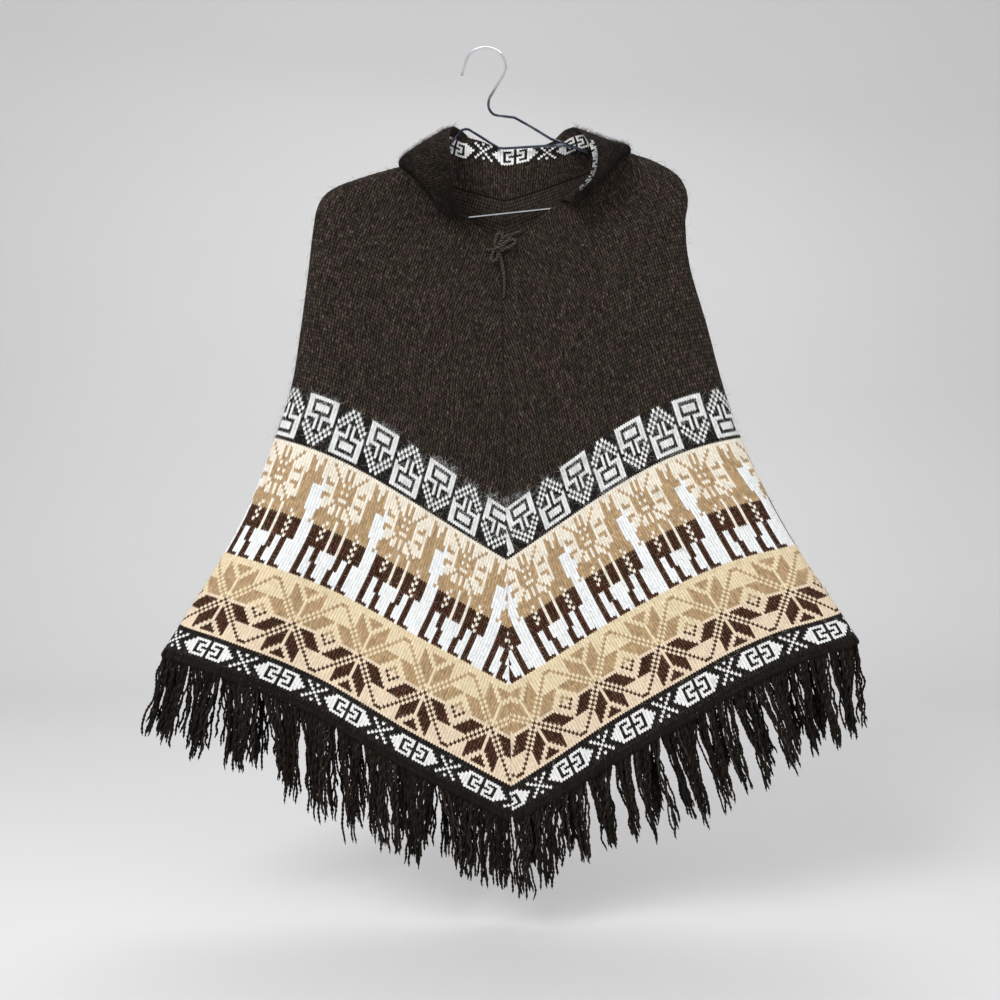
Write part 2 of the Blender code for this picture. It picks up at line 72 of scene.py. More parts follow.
# --- Shape of the cloth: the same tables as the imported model, in millimetres -------------
SEAMS = {                           # each face's centre seam, at the neck and at the hem
    "back": ((0, -177), (8, -884)),
    "front": ((-5, -234), (8, -894)),
}
FOLDS = {                           # fraction down the panel, and where its side fold runs
    "left": (
        (0, -123, -141), (0.045, -163, -152.5), (0.09, -201, -167), (0.125, -217, -184),
        (0.165, -223, -211), (0.24, -229, -262), (0.34, -238, -330), (0.45, -249, -398),
        (0.55, -270, -463), (0.67, -300, -540), (0.78, -333, -602), (0.89, -366, -655),
        (1, -398, -705),
    ),
    "right": (
        (0, 146, -125), (0.045, 177, -136), (0.09, 203, -153), (0.125, 213, -176),
        (0.165, 210, -206), (0.24, 215, -256), (0.34, 234, -322), (0.45, 255, -400),
        (0.55, 277, -463), (0.67, 311, -534), (0.78, 345, -593), (0.89, 379, -643),
        (1, 410, -690),
    ),
}
# Fraction down the panel, how far the cloth stands out, and how far from the fold it gets there.
BODY_DEPTH = ((0, 12, 36), (0.12, 11, 30), (0.3, 16, 42), (0.6, 21, 60), (1, 25, 70))
NECK_SAG = {"front": 1.0, "back": 1.15}                 # power of the neck edge's curve
COURSE_BOW = {"yoke": (0.13, 1.2), "hem": (0.09, 1.7)}  # height and lean of a course's bow
YOKE_START, YOKE_LENGTH = 0.16, 0.40    # where it has the yoke's bow, and the way to the hem's
SOFT_FOLDS = {                      # each fold's centre, half width, height and start
    "left front": ((0.3, 0.17, 6.5, 0.3), (0.56, 0.14, -6, 0.42), (0.79, 0.12, 5.5, 0.22)),
    "right front": ((0.26, 0.15, -5, 0.46), (0.52, 0.18, 7, 0.26), (0.81, 0.12, -5.5, 0.38)),
    "left back": ((0.24, 0.14, -5, 0.34), (0.5, 0.17, 6.5, 0.2), (0.78, 0.12, -4.5, 0.44)),
    "right back": ((0.33, 0.16, 6, 0.3), (0.62, 0.15, -6, 0.25), (0.83, 0.11, 4.5, 0.48)),
}
COLLAR_STATIONS = (                 # place round the neck, and three points up the collar there
    (-1.68, (-54, -25, -194), (-66, -38, -221), (-50, -36, -204)),
    (-1.5, (-76, -28, -178), (-86, -42, -211), (-58, -43, -188)),
    (-1.2, (-108, -28, -150), (-100, -49, -177), (-59, -48, -154)),
    (-1, (-129, -13, -131), (-98, -43, -127), (-63, -38, -128)),
    (-0.75, (-108, 7, -130), (-88, -10, -103), (-62, -9, -98)),
    (-0.5, (-67, 9, -130), (-62, 3, -108), (-51, 6, -96)),
    (-0.25, (-33, 12, -142), (-33, -1, -88), (-32, 18, -112)),
    (0, (1, 13, -148), (1, -2, -97), (1, 18, -126)),
    (0.25, (40, 12, -140), (41, -2, -95), (41, 18, -121)),
    (0.5, (84, 10, -130), (84, 2, -106), (72, 4, -95)),
    (0.75, (124, 10, -121), (114, -14, -104), (90, -15, -106)),
    (1, (149, -13, -112), (122, -47, -128), (99, -41, -139)),
    (1.2, (124, -28, -136), (122, -49, -173), (96, -46, -162)),
    (1.41, (92, -28, -158), (101, -43, -191), (82, -40, -179)),
    (1.55, (72, -25, -178), (84, -38, -205), (74, -36, -194)),
)
FRINGE_SHAPE = {                    # fraction along the hem, length of the yarn and its lean
    "left": ((0, 96, 4), (0.25, 104, 2), (0.45, 118, 10), (0.7, 112, -4), (1, 98, -22)),
    "right": ((0, 96, 4), (0.25, 98, 16), (0.5, 112, 24), (0.75, 108, 26), (1, 104, 8)),
}
# How a tassel's strands differ, as the lowest and the highest draws or the usual spread.
STRAND_PLACE = ((-0.05, -1.3, 0.82), (0.05, 1.3, 1.05))     # nudge, depth, share of the length
STRAND_SPREAD = (1.5, 2.2)                                  # sideways and outwards
STRAND_CURL = ((0.5, 0.5, 0.3, 3.0), (3.2, 1.9, 1.1, 6.5))  # swing, turns, crimp, waves
BOW_KNOT = (-9.0, -17.3, -241.0)
BOW_LOOP_OUTLINE = (                # share of a loop's length and of its width, and how proud
    (0, -0.27, 0.0), (0.3, -0.4, 0.5), (0.75, -0.42, 0.9), (1, 0, 1.0), (0.75, 0.42, 0.9),
    (0.3, 0.4, 0.5), (0, 0.27, 0.0),
)
BOW_LOOPS = (                       # degrees, length, width, how far the loop stands proud
    (80, 19.5, 9, 1), (49, 21, 6, 3), (24, 23, 7.6, 4.6), (-110, 15.5, 7.6, 4.6),
)
BOW_ENDS = (                        # degrees, length, bend, drop back, thickness near and far
    (66, 37, -38, 1.4, 1, 0.7), (180, 13.5, 0, 1.2, 1.1, 0.8), (-64, 57, -25, 3.4, 1.35, 0.72),
)

# --- The knitting ----------------------------------------------------------------------
# Row numbers and fractions down the panel where the border, the stars, the llamas, the
# lozenges and the plain yoke start, from the hem up, and where the yoke ends.
BAND_ROWS = (0, 12, 38, 71, 85, 154)
BAND_LEVELS = (1.0, 0.932, 0.757, 0.540, 0.4496, 0.0)
PERIOD = 24                         # stitches in one repeat
FACE_SPAN = {"back": (-264, 33), "front": (-28, 265)}   # half stitches that cover each face

# Fraction down the panel, width of a stitch in millimetres, and the stitch at the side fold.
STITCH_WIDTH = {
    "left": (
        (0, 3.25, 0.6), (0.49, 3.255, 0.6), (0.6, 3.315, 0.6), (0.69, 3.38, 0.6),
        (0.75, 3.42, 0.6), (0.88, 3.57, 0.6), (0.965, 3.665, 0.6), (1, 3.7, 0.6),
    ),
    "right": (
        (0, 3.11, -3.3), (0.52, 3.117, -3.4), (0.57, 3.15, -3.1), (0.66, 3.33, 0.2),
        (0.76, 3.39, 0.6), (0.9, 3.458, 1.2), (0.955, 3.49, 0.7), (1, 3.52, 0.5),
    ),
}
ROW_BOW = {"left": (0.0, 0.012), "right": (0.011, 0.012)}   # lift in mid-face, drop at the seam
BOW_FADE = {"hem": 0.05, "neck": 0.15}      # fractions of the panel over which that bow fades out
# The stitch that each motif is centred on, and the way the figures are read.
MOTIF_CENTRE = {
    "left": {"stars": 12, "lozenges": 16, "border": 16, "llamas": 3, "reading": 1},
    "right": {"stars": 15, "lozenges": 14, "border": 11, "llamas": -1, "reading": -1},
}
# How fast the yoke's columns leave the seam, in millimetres over the panel's length: high up
# they keep their distance from the seam and run out over the shoulder.
YOKE_SLANT = ((0, 200), (0.1, 290), (0.2, 210), (0.3, 120))
STRAND_STEP = 3.0                   # millimetres along a strand to one unit of its texture
ZIGZAG = 0.45                       # how far a stitch's middle hangs below its sides, in rows
SHALLOW = 0.35                      # how deep its middle lies, as a share of the gutter beside it

# Charts: a dot is the ground. The mirrored motifs are given from their middle stitch out.
BORDER = (".WWWWW...W..W", ".W...WW...W..", ".WWW.WWW...W.", "...W.WWWW...W")
BORDER += BORDER[-2::-1]
ROLLED_BORDER = ("WWWWW.WWWWWW.", "WWW.WWW..WW.W")
STAR = (      # the upper half, top row first; the lower half mirrors it
    "CCC..C.....CC", "CC..CC....C..", "C..CCC...C...", "..CCCC..C....", ".CCCCC.C.....",
    ".CCCC.C......", ".CCC.C.CCCCC.", ".CC.C.CCCCC..", ".C.C.CCCCC...", "..C.CCCCC...C",
    ".C.CCCCC...C.", "C.........C..",
)
FRAME_AND_ARROW = (
    "WWWWWW.", "....WW.", "WWW.WW.", "WWW.WW.", "....WW.", ".WWWWW.", ".W...W.", ".W..W..",
    ".W.W.W.", "..W.W..", ".W.W...", "W.W....", ".W.....",
)
STRIPE_START, STRIPE_ROWS = 19, 18   # the bluish stripe between two llamas: stitch and height
LLAMA_FEET = "DDDD.DDDD..DDDD.DDDD...."
LLAMA_LEGS = ("DD...DD....DD...DD......", "DD..DD......DD..DD......")
LLAMA_LEG_ROWS = 4
LLAMA_BODY = (
    "DDDDDDD.DDD.DDDD.DDD....", "DDDDDDD.DDD.DDD.DDDD....", "DDD.DDD.DDD.DDDD.DDD....",
    "DDDD.DD.DDD.DDD.DDDD....", "DDD.DDD.DDD.DDDD.DDD....", "DDDD.DD.DDD.DDD.DDDD....",
    "CCC.CCC.CCC.CCCC.CCC..C.", "CCCC.CC.CCC.CCC.CCCC...C", "CCCCCCC.CCC.CCCCCCCC...C",
    "CCCCCCCCCC.CCCCCCCC....C", "CCC..C.C...C.CCCCCC.....", "..C..C.C..C....CCCC.....",
    "...C.C.C.C.....CCCC.....", "....CCCCC....C.CCCC....C", "CC.CC...CC.CCC.CCCC....C",
    "...CCCCCCC.....CCCC.....", "...CC.C.CC.....CCCCCCC..", "CC.CCCCCCC.CCC.CCCCCCC.C",
    "...CC.C.CC...C..CCCCC..C", "...C.CCC.C......CC.CC...", "..C..C.C..C.....CC.CC...",
    ".C...C.C...C....CC..C...", "C....C.C....C...C...C...",
)

YARNS = {     # dyed and natural yarns, as seen in even light
    "brown": (39, 33, 28), "black": (29, 26, 24), "white": (234, 235, 233),
    "dark": (58, 37, 26), "camel": (177, 149, 113), "peach": (231, 211, 184),
    "tan": (229, 211, 176), "bluish": (239, 241, 241), "ivory": (237, 228, 211),
    "fringe": (26, 22, 18),
}
NUMBER = {name: number for number, name in enumerate(YARNS)}
YARN_VARIETY = {"brown": 0.42, "black": 0.32, "dark": 0.24, "camel": 0.14}
EVEN_VARIETY = 0.05                 # of the yarns that YARN_VARIETY doesn't name


def linear(colours):
    """Even-light colours (0 to 255) as linear light."""
    share = np.array(colours) / 255
    return np.where(share <= 0.04045, share / 12.92, ((share + 0.055) / 1.055) ** 2.4)


def put(name, data, location=(0, 0, 0), rotation=(0, 0, 0)):
    """Set an object with this data in the scene."""
    thing = bpy.data.objects.new(name, data)
    thing.location, thing.rotation_euler = location, rotation
    bpy.context.scene.collection.objects.link(thing)
    return thing


def place(x, y, z):
    return Vector(((x + CENTRE_X) * MM, y * MM, (z + CENTRE_Z) * MM))


def around(rows, i):
    """Rows i - 1 to i + 2, with the first and the last row repeated beyond the ends."""
    return [rows[min(max(n, 0), len(rows) - 1)] for n in range(i - 1, i + 3)]


def hermite(f, here, rise_in, there, rise_out):
    """A smooth way from here to there with the given rises at its ends."""
    return (here * (2 * f**3 - 3 * f**2 + 1) + rise_in * (f**3 - 2 * f**2 + f)
            + there * (3 * f**2 - 2 * f**3) + rise_out * (f**3 - f**2))


def bezier(points, f):
    a, b, c, d = points
    g = 1.0 - f
    return a * g**3 + b * 3 * g * g * f + c * 3 * g * f * f + d * f**3


def catmull(a, b, c, d, f):
    return 0.5 * (2 * b + (c - a) * f + (2 * a - 5 * b + 4 * c - d) * f * f
                  + (3 * b - a - 3 * c + d) * f**3)


def along(table, position):
    """Values of a table at a position, on a smooth curve through its rows."""
    last = len(table) - 2
    i = next((n for n in range(last + 1) if position <= table[n + 1][0]), last)
    before, here, there, after = around(table, i)
    span = there[0] - here[0]
    f = min(max((position - here[0]) / span, 0.0), 1.0)
    return [hermite(f, here[c], span * (there[c] - before[c]) / (there[0] - before[0]),
                    there[c], span * (after[c] - here[c]) / (after[0] - here[0]))
            for c in range(1, len(here))]


def ease(value):
    value = np.clip(value, 0.0, 1.0)
    return value * value * (3.0 - 2.0 * value)


def unit(vectors):
    return vectors / np.maximum(np.linalg.norm(vectors, axis=-1, keepdims=True), 1e-12)


def run_lengths(lines):
    """How far along its line every point lies, for one line or for many."""
    steps = np.linalg.norm(np.diff(lines, axis=-2), axis=-1)
    return np.insert(np.cumsum(steps, axis=-1), 0, 0.0, axis=-1)


def walk(line, lengths, distance):
    """The points of a line at distances along it."""
    return np.stack([np.interp(distance, lengths, line[:, k]) for k in range(3)], axis=-1)


def spread_even(line, count):
    """A line of points spread evenly again by its length, and that length."""
    lengths = run_lengths(line)
    return walk(line, lengths, np.linspace(0.0, lengths[-1], count)), lengths[-1]


def resample(values, count):
    """Evenly spread values at a new count of places."""
    return np.interp(np.linspace(0, 1, count), np.linspace(0, 1, np.size(values)),
                     np.atleast_1d(values))


def course_rise(across, t, face):
    """Height along a course, 0 at the seam and 1 at the fold: it sags under the neck and bows."""
    neck_shape = across ** NECK_SAG[face]
    bowed = {name: across + height * np.sin(np.pi * across**lean)
             for name, (height, lean) in COURSE_BOW.items()}
    shape = neck_shape + (bowed["yoke"] - neck_shape) * ease(t / YOKE_START)
    return shape + (bowed["hem"] - shape) * ease((t - YOKE_START) / YOKE_LENGTH)


def soft_fold_height(side, face, across, t):
    height = np.zeros_like(across)
    for centre, half_width, proud, start in SOFT_FOLDS[side + " " + face]:
        if t > start:
            offset = np.clip((across - centre) / half_width, -1.0, 1.0)
            growth = ease((t - start) / (1.0 - start))
            height += proud * growth * np.cos(0.5 * np.pi * offset) ** 2
    return height


def cloth_line(side, face, across, t):
    """Points of the middle of the cloth along one course, in metres."""
    seam_x, seam_z = (neck + (hem - neck) * t for neck, hem in zip(*SEAMS[face]))
    fold_x, fold_z = along(FOLDS[side], t)
    depth, fold_length = along(BODY_DEPTH, t)
    reach = math.hypot(fold_x - seam_x, fold_z - seam_z) * (1.0 - across)
    rounding = np.minimum(reach / fold_length, 1.0)
    out = depth * np.sqrt(np.maximum(1.0 - (1.0 - rounding) ** 2, 0.0))
    out = out + soft_fold_height(side, face, across, t)
    x = seam_x + (fold_x - seam_x) * across
    z = seam_z + (fold_z - seam_z) * course_rise(across, t, face)
    return np.stack([x + CENTRE_X, -HAND[face] * out, z + CENTRE_Z], axis=-1) * MM


class Sheet:
    """A smooth sheet looked up by down (0 to 1) and over (-1 to 1), with its normals."""

    def __init__(self, points, hand):
        self.points = points
        down, over = (np.gradient(points, axis=axis) for axis in (0, 1))
        self.normals = unit(np.cross(down, over) * hand)

    def look(self, grid, down, over):
        """The values of a grid over the sheet, between its points."""
        rows, columns = grid.shape[0] - 1, grid.shape[1] - 1
        r = np.clip(down, 0, 1) * rows
        c = (np.clip(over, -1, 1) + 1) / 2 * columns
        i = np.minimum(r.astype(int), rows - 1)
        j = np.minimum(c.astype(int), columns - 1)
        f, g = (r - i)[..., None], (c - j)[..., None]
        return ((grid[i, j] * (1 - g) + grid[i, j + 1] * g) * (1 - f)
                + (grid[i + 1, j] * (1 - g) + grid[i + 1, j + 1] * g) * f)

    def at(self, down, over, out):
        """Points a distance out (millimetres) from the middle of the sheet."""
        down, over, out = np.broadcast_arrays(down, over, out)
        normal = self.look(self.normals, down, over)
        return self.look(self.points, down, over) + normal * (out * MM)[..., None]


def panel_sheet(side, courses=160, half=120):
    """A panel's sheet, with the length of every course on each face."""
    nose, fine, coarse = 0.25, 16, 60   # the course's share next to the fold, and the points
    turn = np.sin(np.linspace(0.5 * np.pi, 0.0, fine))
    across = np.concatenate([1.0 - nose * (1.0 - turn),
                             np.linspace(1.0 - nose, 0.0, coarse)[1:]])
    levels = np.linspace(0.0, 1.0, courses + 1)
    rows, reach = [], []
    for t in levels:
        (back, back_length), (front, front_length) = (
            spread_even(cloth_line(side, face, across, t), half + 1) for face in FACES)
        rows.append(np.concatenate([back[:0:-1], front]))
        reach.append((back_length / MM, front_length / MM))
    sheet = Sheet(np.array(rows), 1.0 if side == "left" else -1.0)
    sheet.levels, sheet.reach = levels, dict(zip(FACES, np.transpose(reach)))
    return sheet


# --- Knitting charts -------------------------------------------------------------------
def mirrored(text, offset):
    """Whether a stitch is of the figure, by its offset from a mirrored motif's middle."""
    half = PERIOD // 2
    return text[abs((offset + half) % PERIOD - half)] != "."


def chart(side):
    """Yarn numbers of one repeat: rows from the hem up, by stitches from the side fold."""
    centre, stitches = MOTIF_CENTRE[side], range(PERIOD)

    def plain(yarn, rows=1):
        return [[yarn] * PERIOD] * rows

    def motif(name, texts, ground, figure):
        return [[figure if mirrored(text, n - centre[name]) else ground for n in stitches]
                for text in texts]

    def read(text, ground, figure, stripe):
        steps = [(centre["reading"] * n - centre["llamas"]) % PERIOD for n in stitches]
        return [figure if text[k] != "." else stripe if k >= STRIPE_START else ground
                for k in steps]

    rows = plain("black", 3) + motif("border", BORDER, "black", "white") + plain("black", 2)
    rows += plain("peach") + motif("stars", STAR, "peach", "dark")
    rows += motif("stars", STAR[-2::-1], "tan", "camel") + plain("tan", 2)
    rows += [read(LLAMA_FEET, "bluish", "dark", "bluish")]
    rows += [read(text, "bluish", "dark", "bluish")
             for text in LLAMA_LEGS for _ in range(LLAMA_LEG_ROWS)]
    rows += [read(text, "ivory", "dark" if "D" in text else "camel",
                  "bluish" if n < STRIPE_ROWS else "ivory") for n, text in enumerate(LLAMA_BODY)]
    rows += plain("ivory") + plain("black")
    rows += motif("lozenges", [up + down[-2::-1] for up, down in
                               zip(FRAME_AND_ARROW[::-1], FRAME_AND_ARROW)], "black", "white")
    rows += plain("brown", BAND_ROWS[-1] - BAND_ROWS[-2])
    return np.array([[NUMBER[yarn] for yarn in row] for row in rows])


def yarn_colours(numbers, dice, lively=1.0):
    """Linear colours of stitches, each a little lighter or darker than its neighbours."""
    base = linear(list(YARNS.values()))
    variety = np.array([YARN_VARIETY.get(name, EVEN_VARIETY) for name in YARNS])
    factor = np.exp(dice.normal(0.0, lively, numbers.shape) * variety[numbers])
    return base[numbers] * factor[..., None]


class Weaving:
    """Gathers quads, their stitch coordinates and their yarn colours into one mesh."""

    def __init__(self):
        self.points, self.faces, self.places, self.colours, self.count = [], [], [], [], 0

    def add(self, points, faces, places, colours):
        """Points, quads of their numbers, and each quad's four stitch places and its colour."""
        self.points.append(points.reshape(-1, 3))
        self.faces.append(faces + self.count)
        self.places.append(places)
        self.colours.append(np.repeat(colours[:, None, :], 4, axis=1))
        self.count += len(self.points[-1])

    def add_grid(self, points, u, v, colours, turned, kept=True):
        """A grid of points with its stitch places u and v, less the quads that aren't kept."""
        rows, columns = points.shape[:2]
        numbers = np.arange(rows * columns).reshape(rows, columns)
        quads = np.stack([numbers[:-1, :-1], numbers[:-1, 1:], numbers[1:, 1:], numbers[1:, :-1]],
                         axis=-1)
        kept = np.broadcast_to(kept, quads.shape[:2])
        chosen = quads[kept][:, ::-1] if turned else quads[kept]
        places = np.stack(np.broadcast_arrays(u, v), axis=-1).reshape(-1, 2)
        self.add(points, chosen, places[chosen], colours[kept])

    def add_edge(self, sheet, down, over, profile, pitch, yarn, dice, turned):
        """Close one edge of a knitted wall, from its right side round to its wrong side."""
        line = sheet.at(down, over, np.array(profile)[:, None])
        height, steps = line.shape[:2]
        yarns = np.full((height - 1, steps - 1), NUMBER[yarn])
        self.add_grid(line, np.arange(steps) * pitch, np.arange(height)[:, None] * 0.33,
                      yarn_colours(yarns, dice), turned)

    def piece(self, name, material):
        points = np.concatenate(self.points)
        faces = np.concatenate(self.faces)
        used = np.unique(faces)
        renumbered = np.zeros(len(points), int)
        renumbered[used] = np.arange(len(used))
        mesh = bpy.data.meshes.new(name)
        mesh.from_pydata(points[used].tolist(), [], renumbered[faces].tolist())
        layer = mesh.uv_layers.new(name="stitches")
        layer.data.foreach_set("uv", np.concatenate(self.places).astype(np.float32).ravel())
        colours = np.concatenate(self.colours).reshape(-1, 3)
        colours = np.concatenate([colours, np.ones((len(colours), 1))], axis=1)
        yarn = mesh.color_attributes.new(name="yarn", type="FLOAT_COLOR", domain="CORNER")
        yarn.data.foreach_set("color", colours.astype(np.float32).ravel())
        mesh.materials.append(material)
        mesh.shade_smooth()
        mesh.update()
        return put(name, mesh)


# --- Materials -------------------------------------------------------------------------
class Signal:
    """A shader node's output that takes part in sums, where every step makes a maths node."""

    def __init__(self, socket):
        self.socket = socket

    def beside(self, name):
        """Another output of the same node."""
        return Signal(self.socket.node.outputs[name])

    def maths(self, operation, *values):
        return node(self.socket.id_data, "Math", *enumerate(values), operation=operation)

    def __add__(self, other):
        return self.maths("ADD", self, other)

    def __sub__(self, other):
        return self.maths("SUBTRACT", self, other)

    def __rsub__(self, other):
        return self.maths("SUBTRACT", other, self)

    def __mul__(self, other):
        return self.maths("MULTIPLY", self, other)

    def __pow__(self, other):
        return self.maths("POWER", self, other)

    def humps(self, angle):
        """Round humps: the sine of the signal times an angle, without its sign."""
        return self.maths("ABSOLUTE", self.maths("SINE", self * angle))


def plug(socket, value):
    """Link a signal to a socket, or set the socket's own value."""
    if isinstance(value, Signal):
        socket.id_data.links.new(value.socket, socket)
    else:
        socket.default_value = value


def node(tree, kind, *inputs, take=0, **settings):
    """Make a shader node with its settings and inputs, and give the output to take from it."""
    made = tree.nodes.new("ShaderNode" + kind)
    for key, value in settings.items():
        setattr(made, key, value)
    for socket, value in inputs:
        plug(made.inputs[socket], value)
    return Signal(made.outputs[take])


def noise(tree, where, scale, detail=2.0, roughness=0.5):
    return node(tree, "TexNoise", ("Vector", where), ("Scale", scale), ("Detail", detail),
                ("Roughness", roughness))


def ramp(tree, value, low, high, bottom=0.0, top=1.0):
    """Bottom where the value is low and top where it is high, and even steps between."""
    return node(tree, "MapRange", ("Value", value), ("From Min", low), ("From Max", high),
                ("To Min", bottom), ("To Max", top))


def bump(tree, strength, depth, height):
    return node(tree, "Bump", ("Strength", strength), ("Distance", depth * MM), ("Height", height))


def scaled(tree, colour, shade):
    return node(tree, "VectorMath", (0, colour), ("Scale", shade), operation="SCALE")


def new_tree(name):
    material = bpy.data.materials.new(name)
    material.use_nodes = True
    return material, material.node_tree


def with_shader(material, **sockets):
    """The material, once its shader's sockets have their values or signals."""
    shader = material.node_tree.nodes["Principled BSDF"]
    for name, value in sockets.items():
        plug(shader.inputs[name.replace("_", " ")], value)
    return material


def knit_material(name, relief, fuzz):
    """Stocking stitch: two slanted legs to a stitch, spun from a slightly hairy wool."""
    material, tree = new_tree(name)
    stitch = node(tree, "UVMap", uv_map="stitches")
    across = node(tree, "SeparateXYZ", (0, stitch))
    link = across.beside(1).humps(math.pi)
    legs = across.humps(2 * math.pi) ** 0.55 * 0.35
    ribs = across.humps(math.pi) ** 0.7 * 0.65
    height = (legs + ribs) * (link ** 0.5 * 0.40 + 0.60)
    stretched = node(tree, "Mapping", (0, stitch), ("Scale", (7.0, 2.2, 1.0)),
                     ("Rotation", (0.0, 0.0, 0.5)))
    fibre = noise(tree, stretched, 1.0, 3.0, 0.6)
    # marled yarn: lengthwise streaks, stronger in the dark yarns than in the pale ones
    yarn = node(tree, "Attribute", attribute_name="yarn")
    spot = node(tree, "TexCoord", take="Object")
    streaks = node(tree, "Mapping", (0, spot), ("Scale", (360.0, 160.0, 190.0)))
    lightness = node(tree, "VectorMath", (0, yarn), take="Value", operation="LENGTH")
    dark = ramp(tree, lightness, 0.25, 0.05)
    marl = (noise(tree, streaks, 1.0, 3.0, 0.65) - 0.5) * (dark * 2.6 + 0.25)
    # painted shade and highlight: the dark yarns are painted deeply shaded between the stitches and
    # bright on their crests, and the pale ones hardly
    pale_shade = height * 0.30 + 0.67
    deep_shade = height * (height * (link * 0.65 + 1.8)) + 0.04
    shade = deep_shade * dark + pale_shade * (1.0 - dark) + (fibre - 0.5) * 0.5 + marl
    toned = scaled(tree, yarn, shade.maths("MAXIMUM", shade, 0.10))
    drift = (noise(tree, spot, 95.0, 3.0) - 0.5) * dark
    hue = node(tree, "CombineXYZ", (0, drift * 0.7 + 1.0), (1, 1.0), (2, drift * 0.9 + 1.0))
    toned = node(tree, "VectorMath", (0, toned), (1, hue), operation="MULTIPLY")
    return with_shader(material, Roughness=0.88, Specular_IOR_Level=0.08, Sheen_Weight=fuzz,
                       Sheen_Roughness=0.55, Base_Color=toned,
                       Normal=bump(tree, 1.0, relief, height + fibre * 0.35))


def yarn_material(name, fuzz):
    """Plied yarn: fine slanted plies, with painted shade in the grooves between them and painted
    highlight on their crests, and lighter and darker fibres.
    """
    material, tree = new_tree(name)
    strand = node(tree, "UVMap", uv_map="stitches")
    across = node(tree, "SeparateXYZ", (0, strand))
    ply = (across + across.beside(1) * 0.6).humps(2 * math.pi)
    fibre = noise(tree, strand, 5.0, 3.0)
    yarn = node(tree, "Attribute", attribute_name="yarn")
    # painted shade and highlight: the ply humps darken the plies' grooves and brighten their crests
    toned = scaled(tree, yarn, ply * 0.7 + (fibre * 0.9 + 0.15))
    return with_shader(material, Roughness=0.85, Specular_IOR_Level=0.08, Sheen_Weight=fuzz,
                       Sheen_Roughness=0.5, Base_Color=toned,
                       Normal=bump(tree, 0.8, 0.4, ply + fibre * 0.4))


def wire_material(name, bright, dark):
    """Plated wire, bright on hook and bar, and painted dark between them over the shoulders as a
    painted dark reflection.
    """
    material, tree = new_tree(name)
    spot = node(tree, "TexCoord", take="Object")
    height = node(tree, "SeparateXYZ", (0, spot), take=2)
    # painted reflection: below the hook and above the bar the wire takes the dark colour, a painted
    # dark reflection
    below_hook, above_bar = ramp(tree, height, -0.040, -0.066), ramp(tree, height, -0.170, -0.150)
    uneven = ramp(tree, noise(tree, spot, 90.0, 4.0), 0.35, 0.65, -0.12, 0.12)
    tone = node(tree, "Mix", (0, below_hook * above_bar + uneven), (6, (*bright, 1.0)),
                (7, (*dark, 1.0)), take=2, data_type="RGBA")
    grain = noise(tree, spot, 1400.0)
    return with_shader(material, Metallic=1.0, Roughness=grain * 0.16 + 0.10, Base_Color=tone,
                       Normal=bump(tree, 0.2, 0.05, grain))


def floor_material():
    material, tree = new_tree("pale_floor")
    cloud = noise(tree, node(tree, "TexCoord", take="Object"), 1.5)
    return with_shader(material, Roughness=0.7, Base_Color=ramp(tree, cloud, 0.0, 1.0, 0.62, 0.66))


# --- Knitted pieces --------------------------------------------------------------------
def stitch_lattice(first, last, rows):
    """Half-stitch and row numbers, and the rows with each stitch's middle hanging lower."""
    h, r = np.meshgrid(np.arange(first, last), np.arange(rows + 1))
    return h, r, np.where((r > 0) & (r < rows), r - ZIGZAG * (h % 2), r)


def stitch_width(side, down):
    """The width of a stitch and the number of the one at the side fold."""
    levels, *columns = np.transpose(STITCH_WIDTH[side])
    return [np.interp(down, levels, column) for column in columns]


def face_lattice(side, face, sheet, h, r):
    """Fraction down and over for every corner of one face's stitches, held to that face."""
    down = np.interp(r, BAND_ROWS, BAND_LEVELS)
    width, first = stitch_width(side, down)
    levels, reach = sheet.levels, sheet.reach[face]
    turn = YOKE_SLANT[-1][0]
    slant = np.interp(levels, *np.transpose(YOKE_SLANT)) * (levels <= turn)
    from_seam = np.cumsum(slant) / (len(levels) - 1)
    drift = np.where(levels < turn,
                     reach - np.interp(turn, levels, reach) + from_seam[-1] - from_seam, 0.0)
    run = HAND[face] * (h / 2 - first) * width + np.interp(down, levels, drift)
    over = np.clip(run / np.interp(down, levels, reach), 0.0, 1.0)
    lift, drop = ROW_BOW[side]
    window = (np.clip((1.0 - down) / BOW_FADE["hem"], 0, 1)
              * np.clip(down / BOW_FADE["neck"], 0, 1))
    down = down + window * (drop * over**3 - lift * np.sin(np.pi * over))
    return down, over * HAND[face]


